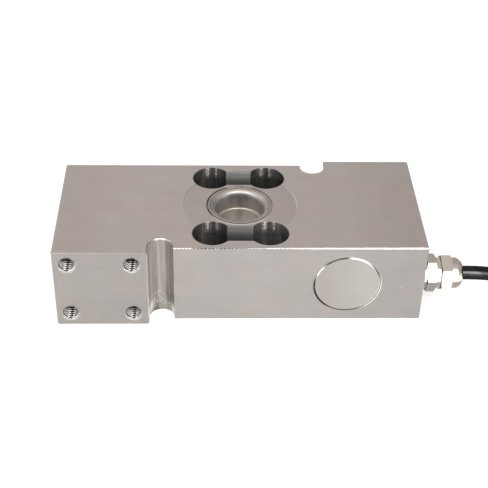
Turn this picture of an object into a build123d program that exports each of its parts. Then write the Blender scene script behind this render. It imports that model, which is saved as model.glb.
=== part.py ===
from build123d import *
from math import atan2, cos, degrees, pi, radians, sin, sqrt, tan
import os

# Single point load cell of stainless steel, lying on its side.
# All sizes are in millimetres. +X runs along the block to the cable end, -Y is the long face
# with the cover disc, +Z is up. The origin lies on the resting face, under the gauge bore.

# Milled block
block_length = 176.0
body_depth = 70.8  # between the two long faces, along Y
block_height = 43.4
pad_length = 44.2
pad_proud = 3.75
notch_width = 12.0
notch_wall = 1.3  # straight wall before the half round of the notch starts
edge_break = 0.4

# Dogbone flexure slots
flexure_wall = 2.55
flexure_radius = 9.45
flexure_spacing = 27.1
slot_width = 12.0
slot_edge_break = 0.2

# Gauge bore and its seal cups
web_thickness = 5.0
spot_radius = 28.0
spot_depth = 0.15
cup_seat_radius = 16.05
cup_seat_ledge = 0.9
cup_rim_gap = 0.35
cup_sheet = 0.8
cup_flare_radius = 2.8
cup_inner_radius = 12.1
cup_depth = 11.0
cup_floor_radius = 1.0
cup_sink = 0.1

# Tapped holes in the pads
pad_hole_radius = 4.0
pad_hole_depth = 18.0
pad_hole_countersink = 0.6
pad_hole_countersink_angle = 60.0
pad_hole_spacing_x = 30.0
pad_hole_spacing_z = 29.0
pad_holes_from_end = 22.0
drill_point_angle = 59.0

# Cavity in the front face and its cover disc
cavity_from_end = 37.0
cavity_radius = 14.5
cavity_depth = 30.0
disc_seat_radius = 16.05
disc_gap = 0.3
disc_thickness = 2.0
disc_edge_break = 0.2

# Slanted drillings between the cavity and the two gauge chambers
channel_radius = 1.75
channel_over_web = 3.0
channel_start_x = 10.0
channel_start_y = -6.0
channel_angle = -28.6
channel_past_wall = 3.0

# Gauges and terminal strips
carrier_length = 12.0
carrier_width = 8.0
carrier_thickness = 0.2
foil_thickness = 0.1
foil_line = 0.25
foil_pitch = 0.5
foil_lines = 7
foil_line_length = 4.0
foil_offset = 3.0
strip_length = 6.0
strip_width = 3.0
strip_thickness = 0.8
strip_pad = 1.0
pad_raise = 0.15
gauge_lead_radius = 0.5

# Compensation board
board_length = 20.0
board_height = 19.0
board_thickness = 1.6
spacer_length = 5.0
spacer_radius = 2.0
screw_radius = 1.0
screw_clearance = 0.1
screw_head_radius = 1.9
screw_head_height = 1.3
screw_head_break = 0.3
screw_slot = 0.5
screw_reach = 4.0
screw_tap_past = 1.0
screw_tap_gap = 0.02
screw_pitch = 14.0
resistor_length = 3.2
resistor_width = 1.6
resistor_height = 0.6
resistor_pitch = 2.6
resistor_rows = 3
resistor_offset = 1.9
land_length = 2.0
land_height = 1.4
core_pad_offset = 6.5
core_pad_pitch = 2.5
lead_pad_offset = -3.4
lead_pad_drop = 0.6

# Cable gland on the end face
gland_inset = 9.3  # axis behind the long face with the cover disc
gland_thread_radius = 6.0
gland_thread_gap = 0.05
gland_thread_depth = 12.0
gland_thread_length = 10.0
gland_thread_break = 0.5
cable_passage_radius = 4.0
washer_thickness = 1.5
washer_radius = 7.8
washer_bore_gap = 0.1
hex_flats = 16.0
hex_crown_angle = 30.0
hex_crown_radius = 8.35  # where the turned crown meets the end of the hexagon
body_hex_length = 4.7
body_hex_turn = -7.1
neck_length = 2.25
neck_radius = 7.7
nut_hex_length = 5.3
nut_hex_turn = 17.5
dome_length = 5.75
dome_radius = 7.7
dome_round = 3.8
dome_mouth_radius = 3.65
dome_mouth_length = 1.0
dome_mouth_step = 0.3
top_thread_radius = 6.4
top_thread_length = 4.8
dome_thread_gap = 0.1
seal_radius = 5.15
seal_bore_gap = 0.05
seal_length = 6.3
seal_back = 1.5  # the seal starts this far below the end of the neck
claw_length = 5.0
claw_slits = 6
claw_slit = 0.8
claw_root = 1.2

# Cable
cable_radius = 3.4
cable_into_cavity = 0.5
core_radius = 0.5
core_ring = 1.9
core_straight = 3.0
core_count = 6

# Coil of the stored length, its ties and its free end
coil_x = 203.0
coil_y = 17.2
coil_outer_turn = 48.2
turns_in_layer = 3
coil_layers = 4
coil_slack = 0.2
coil_round = 3.0
tie_thickness = 1.2
tie_width = 4.8
tie_head = 6.0
tie_head_height = 3.6
tie_head_break = 1.0
plain_tie_angle = 120.0
tail_tie_angle = -62.0
tail_tie_radius = 43.8  # where the tail passes under its tie
tail_tie_slack = 0.6
tail_straight = 4.5  # straight stretch of the tail before its sleeve
sleeve_length = 20.0
sleeve_overlap = 10.0
sleeve_wall = 0.5
sleeve_gap = 0.02
sleeve_end_radius = 2.9
sleeve_shoulder = 3.0
sleeve_over_coil = 0.05
sleeve_start_angle = -46.0
sleeve_start_radius = 42.0
sleeve_heading = 55.0
lead_radius = 0.65
lead_ring = 1.9
lead_straight = 8.6
lead_early_turn = 0.6  # the cores nearer the coil's middle turn this much earlier, each
tip_radius = 0.35
tip_length = 6.0

# Worked out from the sizes above
mid_z = block_height / 2
end_x = block_length / 2
face_y = body_depth / 2
pad_y = face_y + pad_proud
notch_x = end_x - pad_length - notch_width / 2
notch_y = face_y - notch_wall
flexure_y = face_y - flexure_wall - flexure_radius
flexure_x = flexure_spacing / 2
pad_hole_x = end_x - pad_holes_from_end
cavity_x = end_x - cavity_from_end
cavity_floor_y = cavity_depth - face_y
pocket_radius = cup_seat_radius - cup_seat_ledge
flange_top = mid_z - spot_depth - cup_sink
seat_floor = flange_top - cup_sheet
web_top = web_thickness / 2
channel_z = web_top + channel_over_web
board_back_y = cavity_floor_y - spacer_length
board_front_y = board_back_y - board_thickness
gland_y = gland_inset - face_y
gland_hex_x = end_x + washer_thickness
neck_x = gland_hex_x + body_hex_length
nut_x = neck_x + neck_length
dome_x = nut_x + nut_hex_length
cable_exit_x = dome_x + dome_length
coil_strand = 2 * cable_radius
coil_height = coil_layers * coil_strand + 2 * coil_slack
coil_bottom = tie_thickness
coil_top = coil_bottom + coil_height
coil_outside = coil_outer_turn + cable_radius + coil_slack
coil_inside = coil_outer_turn - turns_in_layer * coil_strand - cable_radius - coil_slack
floor_turn_z = coil_bottom + coil_slack + cable_radius

# The cable from the gland down to the coil, chosen by hand
cable_route = [
    (cable_exit_x, gland_y, mid_z),
    (116.0, gland_y, mid_z),
    (127.5, -26.3, 20.3),
    (139.0, -26.9, 16.9),
    (150.5, -27.9, 11.9),
    (162.5, -29.2, 7.5),
    (184.0, -30.9, floor_turn_z),
    (coil_x, coil_y - coil_outer_turn, floor_turn_z),
]


def save(name, shape):
    shape.label = name
    export_step(shape, os.path.join("parts", name + ".step"))


def tube_along(name, points, radius):
    """Round tube on straight runs joined by tangent arcs, each as large as its runs allow."""
    places = [Vector(*point) for point in points]
    radii = []
    for before, corner, after in zip(places, places[1:], places[2:]):
        run = min((corner - before).length, (after - corner).length)
        turn = radians((corner - before).get_angle(after - corner))
        radii.append(0.45 * run / tan(turn / 2))
    path = FilletPolyline(*places, radius=radii)
    section = Plane(path @ 0, z_dir=path % 0) * Circle(radius)
    tube = sweep(section, path=path)
    ideal = pi * radius**2 * path.length
    rounded = [round(value, 1) for value in radii]
    share = round(tube.volume / ideal, 5)
    print(name, "radii", rounded, "length", round(path.length, 2), "volume share", share)
    return tube


def along_x(x, y, z):
    """Plane whose normal runs along +X, for what is turned about the gland's axis."""
    return Plane(origin=(x, y, z), x_dir=(0, 1, 0), z_dir=(1, 0, 0))


def dogbone():
    """Two round holes joined by a straight slot, centred on the origin."""
    holes = Circle(flexure_radius)
    left = Pos(-flexure_x, 0) * holes
    right = Pos(flexure_x, 0) * holes
    return Rectangle(flexure_spacing, slot_width) + left + right


def block_plan():
    """Outline of the block from above: the body, a pad on each side and a notch beside each pad."""
    pad = Pos(pad_length / 2 - end_x, -(face_y + pad_proud / 2)) * Rectangle(pad_length, pad_proud)
    mouth_depth = notch_wall + pad_proud
    mouth = Pos(-notch_x, mouth_depth / -2 - notch_y) * Rectangle(notch_width, mouth_depth)
    notch = mouth + Pos(-notch_x, -notch_y) * Circle(notch_width / 2)
    half_turn = Rot(0, 0, 180)
    plan = Rectangle(block_length, body_depth) + pad + half_turn * pad
    return plan - notch - half_turn * notch


def tapped_hole():
    """Blind hole with a countersunk mouth and a drill point, mouth at the origin, going along +Z."""
    point = pad_hole_radius / tan(radians(drill_point_angle))
    mouth = pad_hole_radius + pad_hole_countersink
    mouth_depth = pad_hole_countersink / tan(radians(pad_hole_countersink_angle))
    outline = Polyline(
        (0, 0), (mouth, 0), (pad_hole_radius, mouth_depth),
        (pad_hole_radius, pad_hole_depth), (0, pad_hole_depth + point), close=True,
    )
    return revolve(Plane.XZ * make_face(outline), Axis.Z)


def channel_points(side):
    """Where a slanted drilling starts in its gauge chamber and ends in the cavity."""
    lift = channel_z * side
    heading = radians(channel_angle)
    wall_x = cavity_x - sqrt(cavity_radius**2 - lift**2)
    reach = (wall_x + channel_past_wall - channel_start_x) / cos(heading)
    start = Vector(channel_start_x, channel_start_y, mid_z + lift)
    return start, start + Vector(cos(heading), sin(heading), 0) * reach


def spring_element():
    block = extrude(block_plan(), block_height)
    block = chamfer(block.edges(), edge_break)
    slot = extrude(dogbone(), block_height)
    for side in (-1, 1):
        block -= Pos(0, side * flexure_y) * slot
    block = chamfer(block.edges().filter_by(on_slot_rim), slot_edge_break)

    # Spot face, cup seat and gauge chamber on the two sides of the web
    chamber_height = mid_z - web_top
    seat_height = mid_z - seat_floor
    up = (Align.CENTER, Align.CENTER, Align.MIN)
    tool = Pos(0, 0, web_top) * Cylinder(pocket_radius, chamber_height, align=up)
    tool += Pos(0, 0, seat_floor) * Cylinder(cup_seat_radius, seat_height, align=up)
    tool += Pos(0, 0, mid_z - spot_depth) * Cylinder(spot_radius, spot_depth, align=up)
    block -= Pos(0, 0, mid_z) * tool
    block -= Pos(0, 0, mid_z) * Rot(180, 0, 0) * tool

    # Tapped holes in the two pads
    hole = Rot(-90, 0, 0) * tapped_hole()
    holes = []
    for step_x in (-0.5, 0.5):
        for step_z in (-0.5, 0.5):
            x = -pad_hole_x + step_x * pad_hole_spacing_x
            z = mid_z + step_z * pad_hole_spacing_z
            holes.append(Pos(x, -pad_y, z) * hole)
    for tool in holes:
        block -= tool
        block -= Rot(0, 0, 180) * tool

    # Cavity, the seat of its cover disc and the tapped holes in its floor
    front = Plane(origin=(cavity_x, -face_y, mid_z), x_dir=(1, 0, 0), z_dir=(0, -1, 0))
    down = (Align.CENTER, Align.CENTER, Align.MAX)
    block -= front * Cylinder(cavity_radius, cavity_depth, align=down)
    block -= front * Cylinder(disc_seat_radius, disc_thickness, align=down)
    floor = Plane(origin=(cavity_x, cavity_floor_y, mid_z), x_dir=(1, 0, 0), z_dir=(0, 1, 0))
    tap = Cylinder(screw_radius, screw_reach + screw_tap_past, align=up)
    for side in (-0.5, 0.5):
        block -= floor * Pos(0, side * screw_pitch) * tap

    # Gland hole and cable passage
    back = along_x(end_x, gland_y, mid_z)
    wall = cavity_x + cavity_radius
    block -= back * Cylinder(gland_thread_radius, gland_thread_depth, align=down)
    block -= back * Cylinder(cable_passage_radius, end_x - wall + cable_into_cavity, align=down)

    # Slanted wire drillings
    for side in (-1, 1):
        start, stop = channel_points(side)
        drill = Plane(origin=start, z_dir=stop - start)
        block -= drill * Cylinder(channel_radius, (stop - start).length, align=up)
    return block


def on_slot_rim(edge):
    """True for the top and bottom edges of the two dogbone slots."""
    box = edge.bounding_box()
    flat = box.size.Z < 0.001
    at_face = box.min.Z < 0.001 or box.min.Z > block_height - 0.001
    within_x = max(abs(box.min.X), abs(box.max.X)) < flexure_x + flexure_radius + 0.01
    within_y = max(abs(box.min.Y), abs(box.max.Y)) < flexure_y + flexure_radius + 0.01
    return flat and at_face and within_x and within_y


def seal_cup():
    """Drawn steel cup with a flared rim, its flange in the seat, modelled about the block's middle."""
    rim = cup_seat_radius - cup_rim_gap
    flare_start = cup_inner_radius + cup_flare_radius
    outer = cup_inner_radius + cup_sheet
    floor_top = mid_z - cup_depth
    floor_under = floor_top - cup_sheet
    inner_corner = cup_inner_radius - cup_floor_radius
    outer_flare = cup_flare_radius - cup_sheet
    with BuildPart() as cup:
        with BuildSketch(Plane.XZ):
            with BuildLine():
                Line((0, floor_top), (inner_corner, floor_top))
                RadiusArc(
                    (inner_corner, floor_top),
                    (cup_inner_radius, floor_top + cup_floor_radius), -cup_floor_radius,
                )
                Line(
                    (cup_inner_radius, floor_top + cup_floor_radius),
                    (cup_inner_radius, flange_top - cup_flare_radius),
                )
                RadiusArc(
                    (cup_inner_radius, flange_top - cup_flare_radius),
                    (flare_start, flange_top), cup_flare_radius,
                )
                Line((flare_start, flange_top), (rim, flange_top))
                Line((rim, flange_top), (rim, seat_floor))
                Line((rim, seat_floor), (flare_start, seat_floor))
                RadiusArc(
                    (flare_start, seat_floor), (outer, seat_floor - outer_flare), -outer_flare,
                )
                Line((outer, seat_floor - outer_flare), (outer, floor_top + cup_floor_radius))
                RadiusArc(
                    (outer, floor_top + cup_floor_radius),
                    (inner_corner, floor_under), cup_floor_radius + cup_sheet,
                )
                Line((inner_corner, floor_under), (0, floor_under))
                Line((0, floor_under), (0, floor_top))
            make_face()
        revolve(axis=Axis.Z)
    return cup.part


def cover_disc():
    disc = Cylinder(disc_seat_radius - disc_gap, disc_thickness)
    disc = chamfer(disc.edges().sort_by(Axis.Z)[-1], disc_edge_break)
    return Pos(cavity_x, disc_thickness / 2 - face_y, mid_z) * Rot(90, 0, 0) * disc


def gauge_carrier():
    """Thin carrier sheet on the web, seen from the block's middle."""
    sheet = Box(carrier_length, carrier_width, carrier_thickness)
    return Pos(0, 0, web_top + carrier_thickness / 2) * sheet


def gauge_foil():
    """Two meander grids at 45 degrees to the block, side by side, joined by a bar to their tabs."""
    low = (Align.CENTER, Align.CENTER, Align.MIN)
    width = (foil_lines - 1) * foil_pitch + foil_line
    grid = None
    for index in range(foil_lines):
        y = (index - (foil_lines - 1) / 2) * foil_pitch
        line = Pos(0, y) * Box(foil_line_length, foil_line, foil_thickness, align=low)
        grid = line if grid is None else grid + line
        if index < foil_lines - 1:
            side = 1 if index % 2 else -1
            turn_x = side * (foil_line_length - foil_line) / 2
            turn = Box(foil_line, foil_pitch + foil_line, foil_thickness, align=low)
            grid += Pos(turn_x, y + foil_pitch / 2) * turn
    bar = Pos(0, width / -2) * Box(2 * foil_offset, foil_line, foil_thickness, align=low)
    foil = Pos(-foil_offset, 0) * Rot(0, 0, 45) * grid
    foil += Pos(foil_offset, 0) * Rot(0, 0, -45) * grid
    foil += Pos(0, foil_pitch) * bar
    return Pos(0, 0, web_top + carrier_thickness) * foil


def terminal_strip():
    """Strip with four raised solder pads, on the web where the slanted drilling opens."""
    low = (Align.CENTER, Align.CENTER, Align.MIN)
    strip = Box(strip_length, strip_width, strip_thickness, align=low)
    for step in (-1.5, -0.5, 0.5, 1.5):
        x = step * strip_length / 4
        strip += Pos(x, 0, strip_thickness) * Box(strip_pad, strip_pad, pad_raise, align=low)
    place = Pos(channel_start_x, channel_start_y, web_top)
    return place * Rot(0, 0, channel_angle) * strip


def lead_route(side):
    """Sheathed gauge lead from the terminal strip through its drilling to the board."""
    start, stop = channel_points(side)
    heading = (stop - start).normalized()
    strip_z = web_top + strip_thickness + pad_raise + gauge_lead_radius
    pad_x = cavity_x + lead_pad_offset
    near = board_front_y - pad_raise
    mouth = stop - heading * 0.5
    first = start - heading * 1.0
    second = start + heading * 3.5
    return [
        (first.X, first.Y, mid_z + side * strip_z),
        (second.X, second.Y, mid_z + side * (channel_z - 0.1)),
        (mouth.X, mouth.Y, mouth.Z),
        (pad_x - 2.6, mouth.Y - 2.1, mouth.Z),
        (pad_x, mouth.Y + 1.4, mouth.Z - side * lead_pad_drop),
        (pad_x, near, mouth.Z - side * lead_pad_drop),
    ]


def board_place(x_offset, z_offset):
    """Place on the board's front, with the local +Z pointing out of it."""
    origin = (cavity_x + x_offset, board_front_y, mid_z + z_offset)
    return Plane(origin=origin, x_dir=(1, 0, 0), z_dir=(0, -1, 0))


def core_heights():
    return [(index - (core_count - 1) / 2) * core_pad_pitch for index in range(core_count)]


def compensation_board():
    low = (Align.CENTER, Align.CENTER, Align.MIN)
    down = (Align.CENTER, Align.CENTER, Align.MAX)
    board = board_place(0, 0) * Box(board_length, board_height, board_thickness, align=down)
    for side in (-0.5, 0.5):
        hole = Cylinder(screw_radius + screw_clearance, board_thickness, align=down)
        board -= board_place(0, side * screw_pitch) * hole
    land = Box(land_length, land_height, pad_raise, align=low)
    for height in core_heights():
        board += board_place(core_pad_offset, height) * land
    for side in (-1, 1):
        board += board_place(lead_pad_offset, side * (channel_z - lead_pad_drop)) * land
    return board


def trim_resistors():
    low = (Align.CENTER, Align.CENTER, Align.MIN)
    bodies = []
    for row in range(resistor_rows):
        height = (row - (resistor_rows - 1) / 2) * resistor_pitch
        for x in (-resistor_offset, resistor_offset):
            chip = Box(resistor_length, resistor_width, resistor_height, align=low)
            bodies.append(board_place(x, height) * chip)
    return Compound(children=bodies)


def board_spacers():
    low = (Align.CENTER, Align.CENTER, Align.MIN)
    ring = Cylinder(spacer_radius, spacer_length, align=low)
    ring -= Cylinder(screw_radius + screw_clearance, spacer_length, align=low)
    back = Plane(origin=(cavity_x, cavity_floor_y, mid_z), x_dir=(1, 0, 0), z_dir=(0, -1, 0))
    return Compound(children=[back * Pos(0, side * screw_pitch) * ring for side in (-0.5, 0.5)])


def board_screws():
    low = (Align.CENTER, Align.CENTER, Align.MIN)
    down = (Align.CENTER, Align.CENTER, Align.MAX)
    length = board_thickness + spacer_length + screw_reach
    head = Cylinder(screw_head_radius, screw_head_height, align=low)
    head = chamfer(head.edges().sort_by(Axis.Z)[-1], screw_head_break)
    slot = Box(2 * screw_head_radius, screw_slot, screw_slot, align=low)
    slot = Pos(0, 0, screw_head_height - screw_slot) * slot
    screw = head - slot + Cylinder(screw_radius - screw_tap_gap, length, align=down)
    return Compound(children=[board_place(0, side * screw_pitch) * screw for side in (-0.5, 0.5)])


def inner_conductors():
    """Six cores from the cable's inner end to the lands on the board."""
    start_x = cavity_x + cavity_radius - cable_into_cavity
    cores = []
    for index, height in enumerate(core_heights()):
        angle = radians(-75 + 30 * index)
        y = gland_y - core_ring * cos(angle)
        z = mid_z + core_ring * sin(angle)
        land_x = cavity_x + core_pad_offset
        cores.append(tube_along("core", [
            (start_x, y, z),
            (start_x - core_straight, y, z),
            (land_x, gland_y + 0.5, mid_z + height),
            (land_x, board_front_y - pad_raise, mid_z + height),
        ], core_radius))
    return Compound(children=cores)


def hexagon(length, turn):
    """Hexagon with its corners turned off at both ends, along +Z from the origin."""
    prism = extrude(Rot(0, 0, turn) * RegularPolygon(hex_flats / 2, 6, major_radius=False), length)
    corner = hex_flats / 2 / cos(radians(30)) + 0.1
    drop = (corner - hex_crown_radius) * tan(radians(hex_crown_angle))
    outline = Polyline(
        (0, 0), (hex_crown_radius, 0), (corner, drop), (corner, length - drop),
        (hex_crown_radius, length), (0, length), close=True,
    )
    return prism & revolve(Plane.XZ * make_face(outline), Axis.Z)


def turned(points):
    """Ring turned about the gland's axis from (x along the axis, radius) points."""
    outline = Polyline(*[(radius, x) for x, radius in points], close=True)
    ring = revolve(Plane.XZ * make_face(outline), Axis.Z)
    return along_x(0, gland_y, mid_z) * ring


def gland_washer():
    bore = gland_thread_radius + washer_bore_gap
    return turned([
        (end_x, bore), (end_x, washer_radius), (gland_hex_x, washer_radius), (gland_hex_x, bore),
    ])


def gland_body():
    """Threaded spigot, hexagon, neck and top thread with a seat for the seal."""
    spigot = gland_thread_radius - gland_thread_gap
    seal_start = nut_x - seal_back
    top = nut_x + top_thread_length
    body = turned([
        (end_x - gland_thread_length, cable_passage_radius),
        (end_x - gland_thread_length, spigot - gland_thread_break),
        (end_x - gland_thread_length + gland_thread_break, spigot),
        (gland_hex_x, spigot),
        (gland_hex_x, neck_radius),
        (nut_x, neck_radius),
        (nut_x, top_thread_radius),
        (top, top_thread_radius),
        (top, seal_radius + sleeve_gap),
        (seal_start, seal_radius + sleeve_gap),
        (seal_start, cable_passage_radius),
    ])
    head = along_x(gland_hex_x, gland_y, mid_z) * hexagon(body_hex_length, body_hex_turn)
    bore = along_x(gland_hex_x, gland_y, mid_z) * Cylinder(
        cable_passage_radius, body_hex_length, align=(Align.CENTER, Align.CENTER, Align.MIN))
    return body + (head - bore)


def gland_seal():
    bore = cable_radius + seal_bore_gap
    start = nut_x - seal_back
    stop = start + seal_length
    return turned([(start, bore), (start, seal_radius), (stop, seal_radius), (stop, bore)])


def dome_cone(x):
    """Inner radius of the dome nut over the claw, narrowing to the mouth."""
    cone_start = nut_x + top_thread_length + dome_thread_gap
    cone_stop = cable_exit_x - dome_mouth_length
    share = (x - cone_start) / (cone_stop - cone_start)
    start_radius = top_thread_radius
    stop_radius = dome_mouth_radius + dome_mouth_step
    return start_radius + (stop_radius - start_radius) * share


def gland_claw():
    """Plastic clamping cage with fingers, pressed on the cable by the dome's cone."""
    bore = cable_radius + seal_bore_gap
    start = nut_x - seal_back + seal_length
    stop = start + claw_length
    gap = dome_thread_gap
    cage = turned([
        (start, bore), (start, dome_cone(start) - gap), (stop, dome_cone(stop) - gap), (stop, bore),
    ])
    for index in range(claw_slits // 2):
        slit = Box(claw_length - claw_root, 2 * dome_radius, claw_slit,
                   align=(Align.MIN, Align.CENTER, Align.CENTER))
        turn = Rot(360 / claw_slits * index, 0, 0)
        cage -= Pos(start + claw_root, gland_y, mid_z) * turn * slit
    return cage


def gland_dome_nut():
    """Hexagon nut with a round dome, threaded over the body and coned over the claw."""
    cone_start = nut_x + top_thread_length + dome_thread_gap
    cone_stop = cable_exit_x - dome_mouth_length
    thread = top_thread_radius + dome_thread_gap
    shell = along_x(nut_x, gland_y, mid_z) * hexagon(nut_hex_length, nut_hex_turn)
    dome = Cylinder(dome_radius, dome_length, align=(Align.CENTER, Align.CENTER, Align.MIN))
    dome = fillet(dome.edges().sort_by(Axis.Z)[-1], dome_round)
    shell += along_x(dome_x, gland_y, mid_z) * dome
    shell -= turned([
        (nut_x, 0), (nut_x, thread), (cone_start, thread), (cone_start, dome_cone(cone_start)),
        (cone_stop, dome_cone(cone_stop)), (cone_stop, dome_mouth_radius),
        (cable_exit_x, dome_mouth_radius), (cable_exit_x, 0),
    ])
    return shell


def cable_in_gland():
    start = cavity_x + cavity_radius - cable_into_cavity
    plane = along_x(start, gland_y, mid_z)
    return plane * Cylinder(cable_radius, cable_exit_x - start,
                            align=(Align.CENTER, Align.CENTER, Align.MIN))


def midpoint(first, second):
    return tuple((a + b) / 2 for a, b in zip(first, second))


def coil_point(angle, radius, height):
    """Place on the coil by its angle about the coil's axis, in degrees."""
    x = coil_x + radius * cos(radians(angle))
    y = coil_y + radius * sin(radians(angle))
    return (x, y, height)


def sleeve_points():
    """Start and end of the sleeve's axis, which lies across the top of the coil."""
    axis_z = coil_top + cable_radius + sleeve_gap + sleeve_wall + sleeve_over_coil
    start = Vector(*coil_point(sleeve_start_angle, sleeve_start_radius, axis_z))
    heading = Vector(cos(radians(sleeve_heading)), sin(radians(sleeve_heading)), 0)
    return start, start + heading * sleeve_length


def tail_route():
    """The last stretch of cable: out of the top layer and level into the sleeve."""
    start, stop = sleeve_points()
    heading = (stop - start).normalized()
    before = start - heading * tail_straight
    end = start + heading * sleeve_overlap
    top_turn_z = coil_top - coil_slack - cable_radius
    return [
        coil_point(-130, 46.6, top_turn_z + 0.2),
        coil_point(-112, 46.2, top_turn_z + 2.2),
        coil_point(-95, 45.6, top_turn_z + 5.2),
        coil_point(-80, 44.6, start.Z),
        coil_point(-66, 44.2, start.Z),
        (before.X, before.Y, before.Z),
        (end.X, end.Y, end.Z),
    ]


def cable_coil():
    """Outer shape of the wound cable with the stretches where the cable joins and leaves it."""
    middle = (coil_outside + coil_inside) / 2
    width = coil_outside - coil_inside
    section = RectangleRounded(width, coil_height, coil_round)
    section = Pos(middle, coil_bottom + coil_height / 2) * section
    ring = Pos(coil_x, coil_y) * revolve(Plane.XZ * section, Axis.Z)
    join = midpoint(cable_route[-3], cable_route[-2])
    ring += tube_along("coil entry", [join] + cable_route[-2:], cable_radius)
    return ring + tube_along("coil tail", tail_route(), cable_radius)


def tie_strap(loop):
    """Tie drawn round a section of the coil, with its square head on the outside."""
    strap = extrude(offset(loop, tie_thickness) - loop, tie_width / 2, both=True)
    strap = Rot(90, 0, 0) * strap
    head_x = coil_outside + tie_thickness + tie_head_height / 2
    head = Box(tie_head_height, tie_head, tie_head)
    head = chamfer(head.edges().filter_by(Axis.X), tie_head_break)
    return strap + Pos(head_x, 0, coil_bottom + coil_height / 2) * head


def coil_ties(coil):
    """One tie round the coil alone, and one that also holds the tail down on its top."""
    width = coil_outside - coil_inside
    middle = (coil_outside + coil_inside) / 2
    ring = RectangleRounded(width, coil_height, coil_round)
    ring = Pos(middle, coil_bottom + coil_height / 2) * ring
    tail_z = sleeve_points()[0].Z
    tail = Pos(tail_tie_radius, tail_z) * Circle(cable_radius + tail_tie_slack)
    both = make_hull((ring + tail).edges())
    plain = Rot(0, 0, plain_tie_angle) * tie_strap(ring)
    over_tail = Rot(0, 0, tail_tie_angle) * tie_strap(both)
    centre = Pos(coil_x, coil_y)
    return Compound(children=[centre * plain - coil, centre * over_tail - coil])


def end_sleeve():
    """Heat-shrunk sleeve: a thin tube over the jacket's end, closed round the cores."""
    start, stop = sleeve_points()
    over = cable_radius + sleeve_gap + sleeve_wall
    bore = cable_radius + sleeve_gap
    shoulder = sleeve_overlap + sleeve_shoulder
    outline = Polyline(
        (bore, 0), (over, 0), (over, sleeve_overlap), (sleeve_end_radius, shoulder),
        (sleeve_end_radius, sleeve_length), (0, sleeve_length), (0, sleeve_overlap),
        (bore, sleeve_overlap), close=True,
    )
    turned_sleeve = revolve(Plane.XZ * make_face(outline), Axis.Z)
    return Plane(origin=start, z_dir=stop - start) * turned_sleeve


lead_names = ("red", "black", "green", "screen", "white", "blue", "yellow")
lead_ring_angles = (180, 240, 120, 0, 300, 60, 0)  # places round the sleeve's end, across to up


def lead_route_on_coil(index):
    """A free core fanned over the top of the coil, from the sleeve to its tinned end."""
    start, stop = sleeve_points()
    heading = (stop - start).normalized()
    across = Vector(-heading.Y, heading.X, 0)
    rest_z = coil_top + lead_radius + sleeve_over_coil
    spread = index - (len(lead_names) - 1) / 2
    screen = lead_names[index] == "screen"
    ring_angle = radians(lead_ring_angles[index])
    out = 0.0 if screen else lead_ring
    first = stop + across * (out * cos(ring_angle)) + Vector(0, 0, out * sin(ring_angle))
    second = first + heading * (lead_straight - lead_early_turn * spread)
    base_angle = degrees(atan2(stop.Y - coil_y, stop.X - coil_x))
    third = coil_point(base_angle + 30, 39.4 - 2.4 * spread, rest_z + 0.3)
    fourth = coil_point(base_angle + 46 + index % 2, 38.6 - 2.7 * spread, rest_z)
    fifth = coil_point(base_angle + 61 + 4 * (index % 3), 37.8 - 2.8 * spread, rest_z)
    return [(first.X, first.Y, first.Z), (second.X, second.Y, second.Z), third, fourth, fifth]


def lead_tip(index):
    route = lead_route_on_coil(index)
    start = Vector(*route[-1])
    heading = (start - Vector(*route[-2])).normalized()
    plane = Plane(origin=start, z_dir=heading)
    return plane * Cylinder(tip_radius, tip_length, align=(Align.CENTER, Align.CENTER, Align.MIN))


os.makedirs("parts", exist_ok=True)

save("spring_element", spring_element())

for name, turn in (("upper", 0), ("lower", 180)):
    place = Pos(0, 0, mid_z) * Rot(turn, 0, 0)
    save(name + "_seal_cup", place * seal_cup())
    save(name + "_gauge_carrier", place * gauge_carrier())
    save(name + "_gauge_foil", place * gauge_foil())
save("cavity_cover_disc", cover_disc())

strip = terminal_strip()
save("upper_terminal_strip", Pos(0, 0, mid_z) * strip)
save("lower_terminal_strip", Pos(0, 0, mid_z) * mirror(strip, Plane.XY))
save("upper_gauge_lead", tube_along("upper gauge lead", lead_route(1), gauge_lead_radius))
save("lower_gauge_lead", tube_along("lower gauge lead", lead_route(-1), gauge_lead_radius))

save("compensation_board", compensation_board())
save("trim_resistors", trim_resistors())
save("board_spacers", board_spacers())
save("board_screws", board_screws())
save("inner_conductors", inner_conductors())

save("gland_washer", gland_washer())
save("gland_body", gland_body())
save("gland_seal", gland_seal())
save("gland_claw", gland_claw())
save("gland_dome_nut", gland_dome_nut())

join_point = midpoint(cable_route[-3], cable_route[-2])
save("cable_in_gland", cable_in_gland())
save("cable_run", tube_along("cable run", cable_route[:-2] + [join_point], cable_radius))
coil = cable_coil()
save("cable_coil", coil)
save("coil_ties", coil_ties(coil))
save("cable_end_sleeve", end_sleeve())
for index, colour in enumerate(lead_names):
    lead = tube_along("lead " + colour, lead_route_on_coil(index), lead_radius)
    save("lead_" + colour, lead)
save("lead_tips", Compound(children=[lead_tip(index) for index in range(len(lead_names))]))
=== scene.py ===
from math import atan2, cos, degrees, pi, radians, sin
from types import SimpleNamespace

import bpy
import numpy as np
from mathutils import Matrix, Vector

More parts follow.
